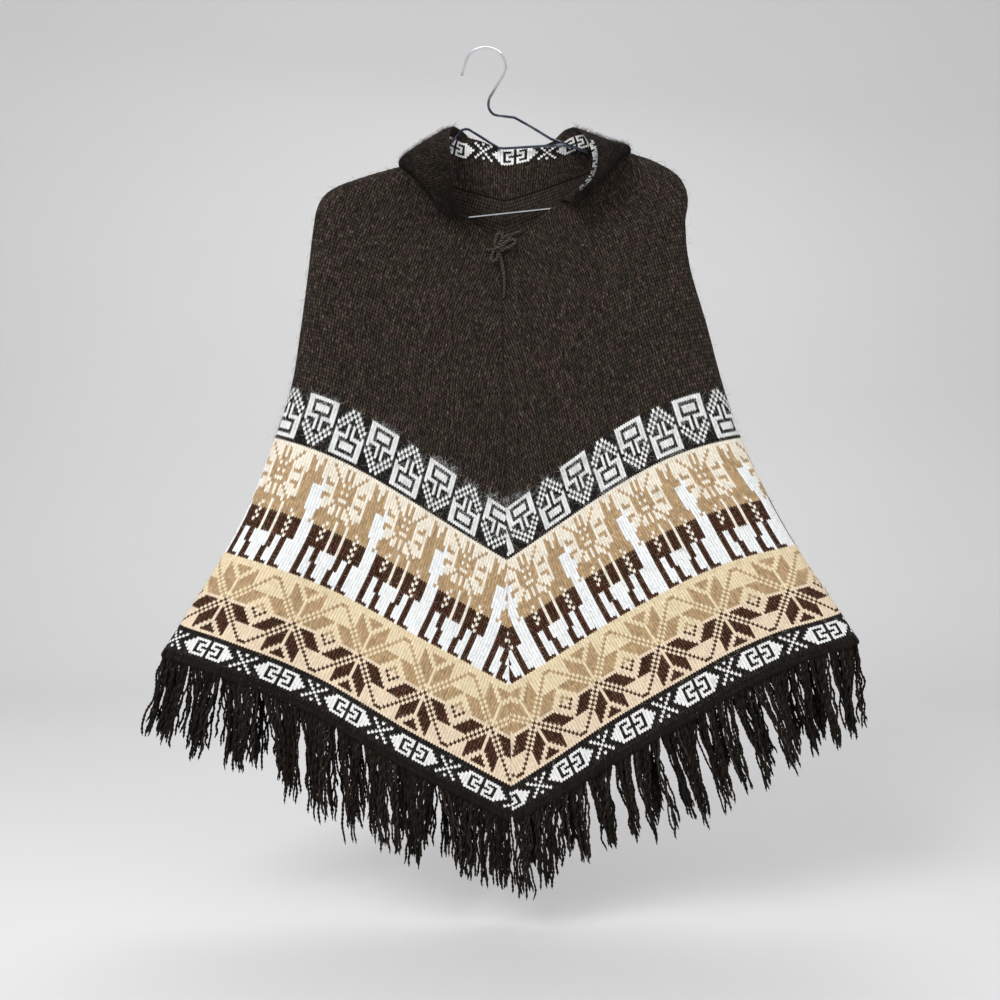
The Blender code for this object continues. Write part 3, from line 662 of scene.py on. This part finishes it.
def knit_panel(side, sizes, material, dice):
    """One patterned panel: both sides of its wall, stitch by stitch, and its four edges."""
    sheet, table, weaving = panel_sheet(side), chart(side), Weaving()
    turned = side == "right"
    rows, half, unevenness = BAND_ROWS[-1], WALL / 2, 0.07

    def lay(face, right_side, h, r, hanging):
        down, over = face_lattice(side, face, sheet, h, hanging)
        inside = (np.abs(over) > 0.0) & (np.abs(over) < 1.0)
        kept = inside[:-1, :-1] | inside[:-1, 1:] | inside[1:, :-1] | inside[1:, 1:]
        out = -half
        if right_side:
            rim = ~inside | (r == 0) | (r == rows)
            gutter = np.where((h % 2 == 0) | rim, 1.0, SHALLOW) * sizes.stitch_relief
            out = half - gutter + np.where(rim, 0.0, dice.normal(0.0, unevenness, h.shape))
        numbers = table[r[:-1, :-1], h[:-1, :-1] // 2 % PERIOD]
        # painted light: the wrong side is painted a tenth lighter to offset the shade it lies in
        colours = (yarn_colours(numbers, dice) if right_side
                   else yarn_colours(numbers, dice, 0.15) * 1.1)
        weaving.add_grid(sheet.at(down, over, out), h / 2, r, colours, turned == right_side, kept)

    for face, (first, last) in FACE_SPAN.items():
        lay(face, True, *stitch_lattice(first, last, rows))
        # the wrong side is plainer, one quad to four stitches
        h, r = np.meshgrid(np.arange(first, last + 3, 4), np.arange(0, rows + 1, 2))
        lay(face, False, h, r, r)
    profile = (half - sizes.stitch_relief, half * 0.5, -half * 0.6, -half)
    across, levels = np.linspace(-1.0, 1.0, 261), np.linspace(0.0, 1.0, 161)
    for down, over, yarn, right_way in (
            (1.0, across, "black", not turned), (0.0, across, "brown", turned),
            (levels, 1.0, "brown", turned), (levels, -1.0, "brown", not turned)):
        weaving.add_edge(sheet, down, over, profile, 1.1, yarn, dice, right_way)
    return weaving.piece("knit_panel_" + side, material)


def collar_sheet(columns_each=10, rows=40, steps=60, columns=240):
    """The collar's sheet: down 0 at the neck edge and 1 at the free edge, over -1 to 1 from
    the left front end round the back to the right front end."""
    last = len(COLLAR_STATIONS) - 1
    lines = []
    for n in range(last * columns_each + 1):
        i = min(n // columns_each, last - 1)
        f = n / columns_each - i
        near = around(COLLAR_STATIONS, i)
        position = near[1][0] + (near[2][0] - near[1][0]) * f
        side = "left" if position < 0 else "right"
        face = "front" if abs(position) > 1.0 else "back"
        across = np.array([2.0 - abs(position) if face == "front" else abs(position)])
        neck = Vector(cloth_line(side, face, across, 0.0)[0])
        curve = [neck] + [catmull(*(place(*row[p]) for row in near), f) for p in (1, 2, 3)]
        line = np.array([bezier(curve, k / steps) for k in range(steps + 1)])
        lines.append(spread_even(line, rows + 1)[0])
    grid = np.array(lines).transpose(1, 0, 2)
    middle = run_lengths(grid[rows // 3])
    wanted = np.linspace(0.0, middle[-1], columns + 1)
    sheet = Sheet(np.array([walk(row, middle, wanted) for row in grid]), 1.0)
    sheet.length = middle[-1] / MM
    stations = np.interp(np.arange(len(lines)) / columns_each, np.arange(last + 1),
                         [row[0] for row in COLLAR_STATIONS])
    sheet.stations = np.interp(wanted, middle, stations)
    return sheet


def knit_collar(sizes, material, dice):
    """The stand-up collar, with a pale border inside its free edge and rolled on its right."""
    sheet, weaving = collar_sheet(), Weaving()
    rows, stitch, unevenness = 28, 3.1, 0.08
    columns = int(sheet.length / stitch)
    station = np.interp(np.arange(2 * columns) / columns - 1.0,
                        np.linspace(-1.0, 1.0, len(sheet.stations)), sheet.stations)
    for outer in (True, False):
        h, r, hanging = stitch_lattice(0, 2 * columns + 1, rows)
        out = WALL / 2 - np.where(h % 2 == 0, sizes.stitch_relief, SHALLOW * sizes.stitch_relief)
        out = out + dice.normal(0.0, unevenness, h.shape)
        numbers = np.full((rows, 2 * columns), NUMBER["brown"])
        # the border lies inside the free edge, and rolls out to the front on the right lobe
        first, texts, start = ((rows - 2, ROLLED_BORDER, 0.86) if outer
                               else (rows - 12, BORDER, -1.52))
        for k, text in enumerate(texts):
            for n in np.flatnonzero((station > start) & (station < 1.40)):
                pale = mirrored(text, n // 2 - columns // 2)
                numbers[first + k, n] = NUMBER["white" if pale else "black"]
        colours = yarn_colours(numbers, dice)
        # painted shade: the outer face is painted at 0.35 of its colour at the neck edge, where
        # shade falls beneath the lobes, rising to 0.66 by the ninth row and 0.72 at the free edge
        if outer:
            colours *= np.interp(np.arange(rows), [0, 9, rows], [0.35, 0.66, 0.72])[:, None, None]
        weaving.add_grid(sheet.at(hanging / rows, h / columns - 1.0, out if outer else -out),
                         h / 2, r, colours, outer)
    profile = (WALL / 2 - 0.3, WALL / 4, -WALL / 4, 0.3 - WALL / 2)
    across, levels = np.linspace(0.0, 1.0, 241) * 2 - 1, np.linspace(0.0, 1.0, 41)
    for down, over, turned in ((0.0, across, False), (1.0, across, True),
                               (levels, -1.0, True), (levels, 1.0, False)):
        weaving.add_edge(sheet, down, over, profile, 1.0, "brown", dice, turned)
    return weaving.piece("knit_collar", material)


# --- Strands ---------------------------------------------------------------------------
def tubes(weaving, paths, radii, sides, colours, twist=1.0):
    """Closed round strands along paths (strand, point, xyz), with a colour for each strand."""
    def corners(grid):
        return np.stack([grid[:, :-1, :-1], grid[:, 1:, :-1], grid[:, 1:, 1:], grid[:, :-1, 1:]],
                        axis=3)

    strands, steps = paths.shape[:2]
    ahead = unit(np.gradient(paths, axis=1))
    aside = np.cross(ahead, (0, 1, 0))
    weak = np.linalg.norm(aside, axis=2, keepdims=True) < 0.15
    aside = unit(np.where(weak, np.cross(ahead, (1, 0, 0)), aside))
    over = np.cross(aside, ahead)
    angles = 2 * np.pi * np.arange(sides)[:, None] / sides
    ring = np.cos(angles) * aside[:, :, None] + np.sin(angles) * over[:, :, None]
    points = paths[:, :, None] + ring * (radii * MM)[:, :, None, None]
    numbers = np.arange(strands * steps * sides).reshape(strands, steps, sides)
    quads = corners(np.concatenate([numbers, numbers[..., :1]], axis=2))
    u = np.arange(sides + 1) / sides * twist
    v = run_lengths(paths)[..., None] / MM / STRAND_STEP
    places = [corners(np.stack(np.broadcast_arrays(u, v), axis=-1)).reshape(-1, 4, 2)]
    tones = [np.repeat(colours, (steps - 1) * sides, axis=0)]
    faces = [quads.reshape(-1, 4)]
    if sides % 2 == 0:                                    # close both ends
        for end, order in ((0, 1), (-1, -1)):
            for k in range(1, sides - 2, 2):
                faces.append(numbers[:, end, [0, k, k + 1, k + 2][::order]])
                places.append(np.zeros((strands, 4, 2)))
                tones.append(colours)
    weaving.add(points, *map(np.concatenate, (faces, places, tones)))


def plied(path, radius, pitch, plies=2, phase=0.0, count=None):
    """Paths of the plies of a twisted cord whose middle follows a path (point, xyz)."""
    count = count or max(int(run_lengths(path)[-1] / MM / pitch * 9), 8)
    path, _ = spread_even(path, count)
    ahead = unit(np.gradient(path, axis=0))
    aside = unit(np.cross(ahead, (0, 1, 0)))
    over = np.cross(aside, ahead)
    turn = phase - run_lengths(path) / MM / pitch * 2 * np.pi
    reach = resample(radius, count)[:, None] * MM
    angles = (turn + 2 * np.pi * k / plies for k in range(plies))
    return np.array([path + (aside * np.cos(a)[:, None] + over * np.sin(a)[:, None]) * reach
                     for a in angles])


def smooth_route(points, steps):
    """A dense curve through the points, with shorter handles where they lie close."""
    dense = []
    for i in range(len(points) - 1):
        a, b, c, d = around(points, i)
        reach = (c - b).length
        into, out = (c - a).normalized() * reach, (d - b).normalized() * reach
        dense += [hermite(n / steps, b, into, c, out) for n in range(steps)]
    return np.array(dense + [points[-1]])


def yarn_tones(name, count, dice, spread):
    return linear(YARNS[name]) * np.exp(dice.normal(0.0, spread, (count, 1)))


def lay_cord(weaving, line, reach, pitch, radii, tones, size=1.0, phase=0.0):
    """A twisted cord along a line: how far its plies stand off the middle, the length of a turn,
    each ply's radius and tone, and the cord's size from its start to its end."""
    strands = plied(line, reach * np.array(size), pitch, len(radii), phase)
    count = strands.shape[1]
    closed = np.ones(count)
    closed[[0, -1]] = 0.08
    radii = np.array(radii)[:, None] * closed * resample(size, count)
    tubes(weaving, strands, radii, 6, tones)


def hem_line(sheet, face):
    """The hem of one face from the centre seam out, with the cloth's downward direction."""
    over = np.linspace(1.0, 0.0, 121) * HAND[face]
    low, high = (sheet.at(level, over, 0.0) for level in (1.0, 1 - 1 / 21))
    return low, unit(low - high)


def tassel_leans(count, dice):
    """How far each tassel leans over, in tassels: they gather in clumps, with gaps between."""
    leans = []
    while len(leans) < count:
        n = len(leans)
        size = min(dice.choice([1, 2, 2, 3, 3, 4]), count - n)
        pull, tilt = dice.uniform(0.45, 0.95), dice.normal(0.0, 0.42)
        tilt *= 0.0 if n < 3 or n + size > count - 3 else 1.0
        leans += [((n + (size - 1) / 2) - (n + k)) * pull + tilt for k in range(size)]
    return leans


def hem_fringe(side, face, sheet, sizes, material, lots, dice):
    """One stretch of fringe: tassels of plied yarn hitched over the hem's edge."""
    count, margin, steps = 38, 1.0 * MM, 27
    strands = sizes.yarns_in_a_tassel
    low, down = hem_line(sheet, face)
    lengths = run_lengths(low)
    pitch = (lengths[-1] - 2 * margin) / count
    outward = -HAND[face]
    fall = np.linspace(0.0, 1.0, steps)
    grown = ease(fall * 3.0)
    paths, radii, hitches, hitch_radii = [], [], [], []
    for n, lean_over in enumerate(tassel_leans(count, dice)):
        distance = margin + pitch * (n + 0.5)
        root, heading = walk(low, lengths, distance), walk(down, lengths, distance)
        over = unit(walk(low, lengths, distance + pitch / 2) - root)
        length, lean = along(FRINGE_SHAPE[side], (n + 0.5) / count)
        length *= lots.uniform(0.90, 1.06)
        lean += lots.uniform(-2.2, 2.2)
        sway = lots.uniform(-3.0, 3.0)
        huddle = lean_over * pitch / MM * (1.0 if over[0] > 0 else -1.0)
        for strand in range(strands):
            nudge, thick, share = dice.uniform(*STRAND_PLACE)
            start = ((strand + 0.5) / strands - 0.5) * 0.86 * pitch + nudge * pitch
            spread, puff = dice.normal(0.0, STRAND_SPREAD)
            spread += -0.72 * start / MM + huddle
            swing, turns, crimp, waves = dice.uniform(*STRAND_CURL)
            phase = dice.uniform(0, 6.3, 4)
            bends = turns * fall * 6.3 + phase[0], turns * fall * 6.3 + phase[2]
            curls = [crimp * np.sin(waves * fall * 6.3 + phase[k]) * grown for k in (1, 3)]
            x = (lean * fall**1.4 + spread * np.sin(1.8 * fall**1.3)
                 + swing * (np.sin(bends[0]) - np.sin(phase[0])) * grown + curls[0])
            y = (sway * np.sin(np.pi * fall * 0.8) + thick * (1 - 0.4 * fall) + puff * fall
                 + swing * 0.7 * np.sin(bends[1]) * grown + curls[1])
            drop = over[2] * start * 0.8 * fall
            path = np.stack([x, y, -length * share * fall], axis=-1) * MM
            path += root + heading * 1.2 * MM + over * start
            path[:, 2] -= drop
            ply = 0.74 * dice.uniform(0.85, 1.15)
            paths += list(plied(path, ply, 11.0, 2, phase[0], count=steps))
            radii += [1.25 * ply * np.concatenate([[0.7], np.ones(steps - 3), [0.8, 0.1]])] * 2
        # the tassel's hitch: a bar of yarn and the loops that go over the edge
        a = np.linspace(-1.0, 1.0, 6)
        bar = root + heading * 1.6 * MM + over * (a * 0.46 * pitch)[:, None]
        bar[:, 1] += outward * (1.9 + 0.5 * np.sqrt(1 - (a * 0.98) ** 2)) * MM
        hitches.append(bar)
        hitch_radii.append(1.6 * np.array([0.4, 0.95, 1, 1, 0.95, 0.4]))
        rise, proud = np.linspace(-4.2, 6.5, 6), np.array([0.6, 2.0, 2.2, 2.4, 2.3, 1.6])
        for step in (-0.40, -0.20, 0.0, 0.20, 0.40):
            loop = root + heading * rise[:, None] * MM + over * step * pitch
            loop[:, 1] += outward * proud * MM
            hitches.append(loop)
            hitch_radii.append(1.15 * np.array([0.25, 1, 1, 1, 1, 0.6]))
    weaving = Weaving()
    tones = np.repeat(yarn_tones("fringe", len(paths) // 2, dice, 0.42), 2, axis=0)
    # painted highlight and shade: of each strand's two plies, one is painted lighter and the other
    # darker, for the twist's highlights and grooves
    tones *= np.tile([1.65, 0.60], len(paths) // 2)[:, None]
    tubes(weaving, np.array(paths), np.array(radii), 4, tones)
    tubes(weaving, np.array(hitches), np.array(hitch_radii), 6,
          yarn_tones("fringe", len(hitches), dice, 0.2), 2.0)
    return weaving.piece("yarn_fringe_%s_%s" % (face, side), material)


def seam_braids(sheets, collar, material, dice):
    """The crocheted ridges down the yoke's front and back seams and round the neck edge."""
    weaving = Weaving()
    levels = np.linspace(0.0, 0.44, 160)
    thin = np.interp(levels, [0.0, 0.44], [0.55, 0.30])
    for end in (1.0, -1.0):
        lines = [sheets[side].at(levels, end, WALL / 2 + 0.5 * thin) for side in SIDES]
        # painted highlight and shade: one ply is painted lighter and the other darker, for the
        # ridge's twisted highlights
        tones = yarn_tones("brown", 2, dice, 0.1) * np.array([[1.5], [0.8]])
        lay_cord(weaving, (lines[0] + lines[1]) / 2, 0.8, 5.0, (1.1, 1.1), tones, thin)
    for out in (WALL / 2, -WALL / 2):
        line = collar.at(0.004, np.linspace(-1.0, 1.0, 300), out)
        # painted shade: the cords round the neck edge are painted at under half the yarn's colour,
        # as the shadowed groove of the neck seam
        tones = yarn_tones("brown", 2, dice, 0.1) * 0.45
        lay_cord(weaving, line, 0.5, 5.0, (0.7, 0.7), tones)
    return weaving.piece("seam_braids", material)


def fibres(weaving, sheet, level, over, colours, lengths, dice, upward=0.0, out=1.0):
    """Loose fibres that stand off one side of a sheet in low curls."""
    count = len(level)
    out = np.broadcast_to(out, count)
    roots = sheet.at(level, over, out * (WALL / 2 - 0.3))
    normals = sheet.look(sheet.normals, level, over) * out[:, None]
    aim = dice.normal(0.0, 1.0, (count, 3))
    aim[:, 2] += upward
    aim = unit(aim - normals * np.sum(aim * normals, axis=1, keepdims=True))
    side = np.cross(normals, aim) * dice.normal(0.0, 0.35, (count, 1))
    rise = dice.uniform(0.18, 0.55, (count, 1))
    paths = []
    for f, up, bend in ((0.0, 0.0, 0.0), (0.33, 0.55, 0.15), (0.68, 0.95, 0.55), (1.0, 0.85, 1.2)):
        step = aim * f + normals * rise * up + side * bend
        paths.append(roots + step * lengths[:, None] * MM)
    radii = np.tile(np.array([0.085, 0.075, 0.060, 0.03]), (count, 1))
    tubes(weaving, np.stack(paths, axis=1), radii, 3, colours)


def yarn_under(side, sheet, level, over):
    """The yarn number of the stitch at each place on a panel's right side."""
    back, front = (np.interp(level, sheet.levels, sheet.reach[face]) for face in FACES)
    row = np.interp(-level, -np.array(BAND_LEVELS), BAND_ROWS).astype(int)
    width, first = stitch_width(side, level)
    stitch = over * np.where(over >= 0, front, back) / width + first
    return chart(side)[row.clip(0, BAND_ROWS[-1] - 1), np.floor(stitch).astype(int) % PERIOD]


def panel_fuzz(side, sheet, count, material, dice):
    """Fibres over a panel's right side, each in the colour of the stitch it comes from."""
    level, over = dice.uniform(0.0, 1.0, count), dice.uniform(-1.0, 1.0, count)
    colours = yarn_colours(yarn_under(side, sheet, level, over), dice)
    lengths = dice.uniform(4.0, 11.0, count) * np.where(level < 0.55, 1.25, 0.7)
    weaving = Weaving()
    fibres(weaving, sheet, level, over, colours, lengths, dice)
    return weaving.piece("wool_fuzz_" + side, material)


def pale_haze(side, sheet, count, material, dice):
    """The soft haze that the pale yarns raise, thickest over the lozenges and their top edge."""
    weaving = Weaving()
    pale_yarns = [NUMBER[name] for name in ("white", "ivory", "bluish")]
    for low, high, share, pale_only, upward in (
            (0.450, 0.470, 0.08, 1.0, 1.2), (0.450, 0.540, 0.40, 0.9, 0.2),
            (0.540, 0.757, 0.34, 0.3, 0.0), (0.757, 0.932, 0.14, 0.2, 0.0)):
        level = dice.uniform(low, high, count * 4)
        over = dice.uniform(-1.0, 1.0, count * 4)
        numbers = yarn_under(side, sheet, level, over)
        pale = np.isin(numbers, pale_yarns)
        chosen = np.flatnonzero(pale | (dice.uniform(0, 1, count * 4) > pale_only))
        chosen = chosen[:int(count * share)]
        fibres(weaving, sheet, level[chosen], over[chosen], yarn_colours(numbers[chosen], dice),
               dice.uniform(3.5, 8.5, len(chosen)), dice, upward)
    return weaving.piece("pale_haze_" + side, material)


def collar_fuzz(collar, count, material, dice):
    """Longer fibres on the collar, most of them on its two front lobes and its free edge."""
    level = dice.uniform(0.0, 1.0, count) ** 0.7
    over = np.sign(dice.uniform(-1, 1, count)) * dice.uniform(0.0, 1.0, count) ** 0.5
    out = np.where(dice.uniform(0, 1, count) < 0.9, 1.0, -1.0)
    colours = yarn_colours(np.full(count, NUMBER["brown"]), dice) * 0.8
    weaving = Weaving()
    fibres(weaving, collar, level, over, colours, dice.uniform(3.5, 9.0, count), dice, out=out)
    return weaving.piece("wool_fuzz_collar", material)


def flat_direction(degrees):
    angle = math.radians(degrees)
    return Vector((math.cos(angle), 0.0, math.sin(angle)))


def twisted_cord(weaving, route, dice, phase=0.0, near=1.0, far=1.0):
    """Two plies painted light as painted highlights, with two thin plies painted near black as
    painted shade in the grooves between them, thinning from the near end.
    """
    # painted highlight and shade: the main plies at 3.4 and 2.8 of the yarn's colour, the groove
    # plies near black
    tones = yarn_tones("brown", 4, dice, 0.08) * np.array([[3.4], [0.12], [2.8], [0.12]])
    lay_cord(weaving, route, 0.92, 7.8, (1.15, 0.62, 1.15, 0.62),
             tones * np.array([0.92, 1.0, 1.08]), np.linspace(near, far, 20), phase)


def tie_bow(material, dice):
    """The twisted cord's bow: short crowded loops, the ends and the knot wound over them."""
    knot, weaving = place(*BOW_KNOT), Weaving()
    for n, (degrees, length, width, proud) in enumerate(BOW_LOOPS):
        ahead, aside = flat_direction(degrees), flat_direction(degrees + 90.0)
        points = [knot + (ahead * length * a + aside * width * b) * MM
                  for a, b, _ in BOW_LOOP_OUTLINE]
        for point, (_, _, lift) in zip(points, BOW_LOOP_OUTLINE):
            point.y -= lift * proud * MM
        twisted_cord(weaving, smooth_route(points, 8), dice, n)
    for n, (degrees, length, bend, drop, near, far) in enumerate(BOW_ENDS):
        points = [knot]
        for step in range(1, 6):
            heading = flat_direction(degrees + bend * step / 4)
            points.append(points[-1] + heading * length * MM / 5)
            points[-1].y = knot.y + drop * step / 5 * MM
        twisted_cord(weaving, smooth_route(points, 6), dice, n, near, far)
    turns, rise = np.linspace(0.0, 1.3 * 2 * np.pi, 30), np.linspace(-2.4, 2.4, 30)
    wrap = np.stack([3.2 * np.cos(turns) - rise * 0.7, 3.4 * np.sin(turns) - 2.4, rise], axis=-1)
    twisted_cord(weaving, np.array(knot)[None, :] + wrap * MM, dice)
    return weaving.piece("tie_bow", material)


# --- Properties a user would change -----------------------------------------------------
class PonchoSizes(bpy.types.PropertyGroup):
    stitch_relief: FloatProperty(name="Stitch relief", default=0.40, min=0.0, max=0.8,
                                 description="Depth of the gutters between columns, in millimetres")
    yarn_relief: FloatProperty(name="Yarn relief", default=0.7, min=0.0, max=2.0,
                               description="Depth of the yarn's own bump, in millimetres")
    yarns_in_a_tassel: IntProperty(name="Yarns in a tassel", default=6, min=2, max=7,
                                   description="Strands knotted into the hem together")
    fibres_on_a_panel: IntProperty(name="Fibres on a panel", default=8500, min=0, max=10000,
                                   description="Loose fibres that stand off each panel")
    fibres_of_pale_haze: IntProperty(name="Fibres of pale haze", default=8000, min=0, max=10000,
                                     description="Soft fibres over the pale bands of each panel")
    fibres_on_the_collar: IntProperty(name="Fibres on the collar", default=9500, min=0, max=10000,
                                      description="Loose fibres that stand off the collar")
    seed: IntProperty(name="Seed", default=7, description="Changes every yarn's small variations")


class PonchoColours(bpy.types.PropertyGroup):
    wire: FloatVectorProperty(name="Wire", subtype="COLOR", min=0, max=1,
                              default=(0.72, 0.74, 0.77),
                              description="Plating of the hanger's hook and bar")
    # painted reflection: this colour is painted on the wire over the shoulders as a dark reflection
    painted_dark_wire: FloatVectorProperty(name="Painted dark wire", subtype="COLOR", min=0, max=1,
                                     default=(0.055, 0.065, 0.09),
                                     description="The same wire where it is darkened by wear")
    fuzz: FloatProperty(name="Wool fuzz", subtype="FACTOR", default=0.012, min=0, max=1,
                        description="Soft bloom of the wool's loose fibres")


def settings(context, step):
    """The user's sizes and colours, and the random draws of one step of the work."""
    sizes, colours = context.scene.poncho_sizes, context.scene.poncho_colours
    return sizes, colours, np.random.default_rng(sizes.seed + step)


def finish_piece(piece, slot, *nodes):
    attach(piece, "root")
    if nodes:
        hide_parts(*nodes)


class PONCHO_OT_panels(bpy.types.Operator):
    """Knit the two patterned panels, stitch by stitch"""
    bl_idname = "poncho.panels"
    bl_label = "Patterned panels"

    def execute(self, context):
        sizes, colours = context.scene.poncho_sizes, context.scene.poncho_colours
        material = knit_material("patterned_wool", sizes.yarn_relief, colours.fuzz)
        for number, side in enumerate(SIDES):
            piece = knit_panel(side, sizes, material, np.random.default_rng(sizes.seed + number))
            finish_piece(piece, "patterned_knit", "panel_" + side)
        return {"FINISHED"}


class PONCHO_OT_collar(bpy.types.Operator):
    """Knit the stand-up collar with its border inside the free edge"""
    bl_idname = "poncho.collar"
    bl_label = "Collar"

    def execute(self, context):
        sizes, colours, dice = settings(context, 2)
        material = knit_material("collar_wool", sizes.yarn_relief, colours.fuzz)
        finish_piece(knit_collar(sizes, material, dice), "collar_knit", "collar")
        return {"FINISHED"}


class PONCHO_OT_cords(bpy.types.Operator):
    """Work the seams' braids and tie the bow at the foot of the neck slit"""
    bl_idname = "poncho.cords"
    bl_label = "Seam braids and bow"

    def execute(self, context):
        _, colours, dice = settings(context, 3)
        material = yarn_material("twisted_cord", colours.fuzz)
        sheets = {side: panel_sheet(side) for side in SIDES}
        finish_piece(seam_braids(sheets, collar_sheet(), material, dice), "tie_cord")
        finish_piece(tie_bow(material, dice), "tie_cord", "neck_tie")
        return {"FINISHED"}


class PONCHO_OT_fringe(bpy.types.Operator):
    """Knot the fringe of crimped yarn along the hem"""
    bl_idname = "poncho.fringe"
    bl_label = "Fringe"

    def execute(self, context):
        sizes, colours, dice = settings(context, 4)
        material = yarn_material("fringe_wool", colours.fuzz)
        lots = random.Random(7)
        sheets = {side: panel_sheet(side) for side in SIDES}
        for face in ("front", "back"):
            for side in SIDES:
                piece = hem_fringe(side, face, sheets[side], sizes, material, lots, dice)
                finish_piece(piece, "fringe_yarn", "fringe_%s_%s" % (face, side))
        return {"FINISHED"}


class PONCHO_OT_fuzz(bpy.types.Operator):
    """Raise the wool's loose fibres on the panels and the collar"""
    bl_idname = "poncho.fuzz"
    bl_label = "Wool fuzz"

    def execute(self, context):
        sizes, colours, dice = settings(context, 5)
        material = yarn_material("loose_fibre", colours.fuzz)
        for side in SIDES:
            sheet = panel_sheet(side)
            for cover, count in ((panel_fuzz, sizes.fibres_on_a_panel),
                                 (pale_haze, sizes.fibres_of_pale_haze)):
                finish_piece(cover(side, sheet, count, material, dice), "patterned_knit")
        piece = collar_fuzz(collar_sheet(), sizes.fibres_on_the_collar, material, dice)
        finish_piece(piece, "collar_knit")
        return {"FINISHED"}


class PONCHO_OT_hanger(bpy.types.Operator):
    """Plate the hanger's wire"""
    bl_idname = "poncho.hanger"
    bl_label = "Wire hanger"

    def execute(self, context):
        colours = context.scene.poncho_colours
        material = wire_material("plated_wire_bright", colours.wire, colours.painted_dark_wire)
        for slot in bpy.data.objects["hanger_wire"].material_slots:
            slot.material = material
        return {"FINISHED"}


class PONCHO_OT_stage(bpy.types.Operator):
    """Set the pale floor with its cove, the soft lights and the camera"""
    bl_idname = "poncho.stage"
    bl_label = "Stage"

    def execute(self, context):
        scene = context.scene
        for thing in context.selected_objects:
            thing.select_set(False)
        bpy.ops.mesh.primitive_grid_add(x_subdivisions=1, y_subdivisions=90, size=1.0)
        floor = context.object
        floor.name = "floor"
        # in metres: its width and length, front edge and height, where it turns up and how wide
        width, run_all, front, low, depth, turn = 16.0, 13.0, -5.0, -1.03, 1.5, 0.8
        for vert in floor.data.vertices:
            run = (vert.co.y + 0.5) * run_all + front
            bend = (run - depth) / turn
            if bend <= 0:
                y, z = run, low
            elif bend < math.pi / 2:
                y, z = depth + turn * math.sin(bend), low + turn * (1 - math.cos(bend))
            else:
                y, z = depth + turn, low + turn + (run - depth - turn * math.pi / 2)
            vert.co = (vert.co.x * width, y, z)
        floor.data.materials.append(floor_material())
        floor.data.shade_smooth()
        lamps = (
            # name, place, aim, power, size
            ("key_light", (-1.3, -1.9, 1.1), (0.0, 0.0, -0.5), 62.0, 1.2),
            ("fill_light", (1.9, -1.9, 0.1), (0.0, 0.0, -0.5), 22.0, 2.0),
            ("top_light", (0.2, 0.9, 1.5), (0.0, 0.0, -0.4), 20.0, 1.6),
        )
        for name, spot, aim, power, size in lamps:
            lamp = bpy.data.lights.new(name, "AREA")
            lamp.energy, lamp.size = power, size
            way = (Vector(aim) - Vector(spot)).to_track_quat("-Z", "Y")
            put(name, lamp, spot, way.to_euler())
        world = bpy.data.worlds.new("soft_room")
        world.use_nodes = True
        background = world.node_tree.nodes["Background"]
        background.inputs["Color"].default_value = (0.98, 0.98, 1.0, 1.0)
        background.inputs["Strength"].default_value = 0.62
        scene.world = world
        eye = bpy.data.cameras.new("eye")
        eye.sensor_fit = "HORIZONTAL"
        half_view, distance = 0.585, 1.27
        eye.angle = 2 * math.atan(half_view / distance)
        camera = put("eye", eye, (0.01515, -distance, -0.5275), (math.pi / 2, 0.0, 0.0))
        bpy.context.scene.camera = camera
        scene.view_settings.view_transform = "Standard"
        return {"FINISHED"}


PIECES = (PONCHO_OT_panels, PONCHO_OT_collar, PONCHO_OT_cords, PONCHO_OT_fringe,
          PONCHO_OT_fuzz, PONCHO_OT_hanger, PONCHO_OT_stage)


class PONCHO_PT_sidebar(bpy.types.Panel):
    bl_label = "Poncho"
    bl_idname = "PONCHO_PT_sidebar"
    bl_space_type = "VIEW_3D"
    bl_region_type = "UI"
    bl_category = "Poncho"

    def draw(self, context):
        for group in (context.scene.poncho_sizes, context.scene.poncho_colours):
            for name in group.__annotations__:
                self.layout.prop(group, name)
        for piece in PIECES:
            self.layout.operator(piece.bl_idname)


CLASSES = (PonchoSizes, PonchoColours) + PIECES + (PONCHO_PT_sidebar,)


def register():
    for each in CLASSES:
        bpy.utils.register_class(each)
    bpy.types.Scene.poncho_sizes = PointerProperty(type=PonchoSizes)
    bpy.types.Scene.poncho_colours = PointerProperty(type=PonchoColours)


def unregister():
    del bpy.types.Scene.poncho_colours
    del bpy.types.Scene.poncho_sizes
    for each in reversed(CLASSES):
        bpy.utils.unregister_class(each)


def declare_cloth():
    """List the pieces that hang on each panel: its two fringes, its fuzz and haze, and on the left
    the seam braids and the bow. The lists are not used.
    """
    made = bpy.data.objects
    for side in SIDES:
        hung_on = [made["yarn_fringe_%s_%s" % (face, side)] for face in ("front", "back")]
        hung_on += [made["wool_fuzz_" + side], made["pale_haze_" + side]]
        if side == "left":
            hung_on += [made["seam_braids"], made["tie_bow"]]


def main():
    register()
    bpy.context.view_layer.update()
    bpy.ops.poncho.panels()
    bpy.ops.poncho.collar()
    bpy.ops.poncho.cords()
    bpy.ops.poncho.fringe()
    bpy.ops.poncho.fuzz()
    bpy.ops.poncho.hanger()
    bpy.ops.poncho.stage()
    declare_cloth()


if __name__ == "__main__":
    main()
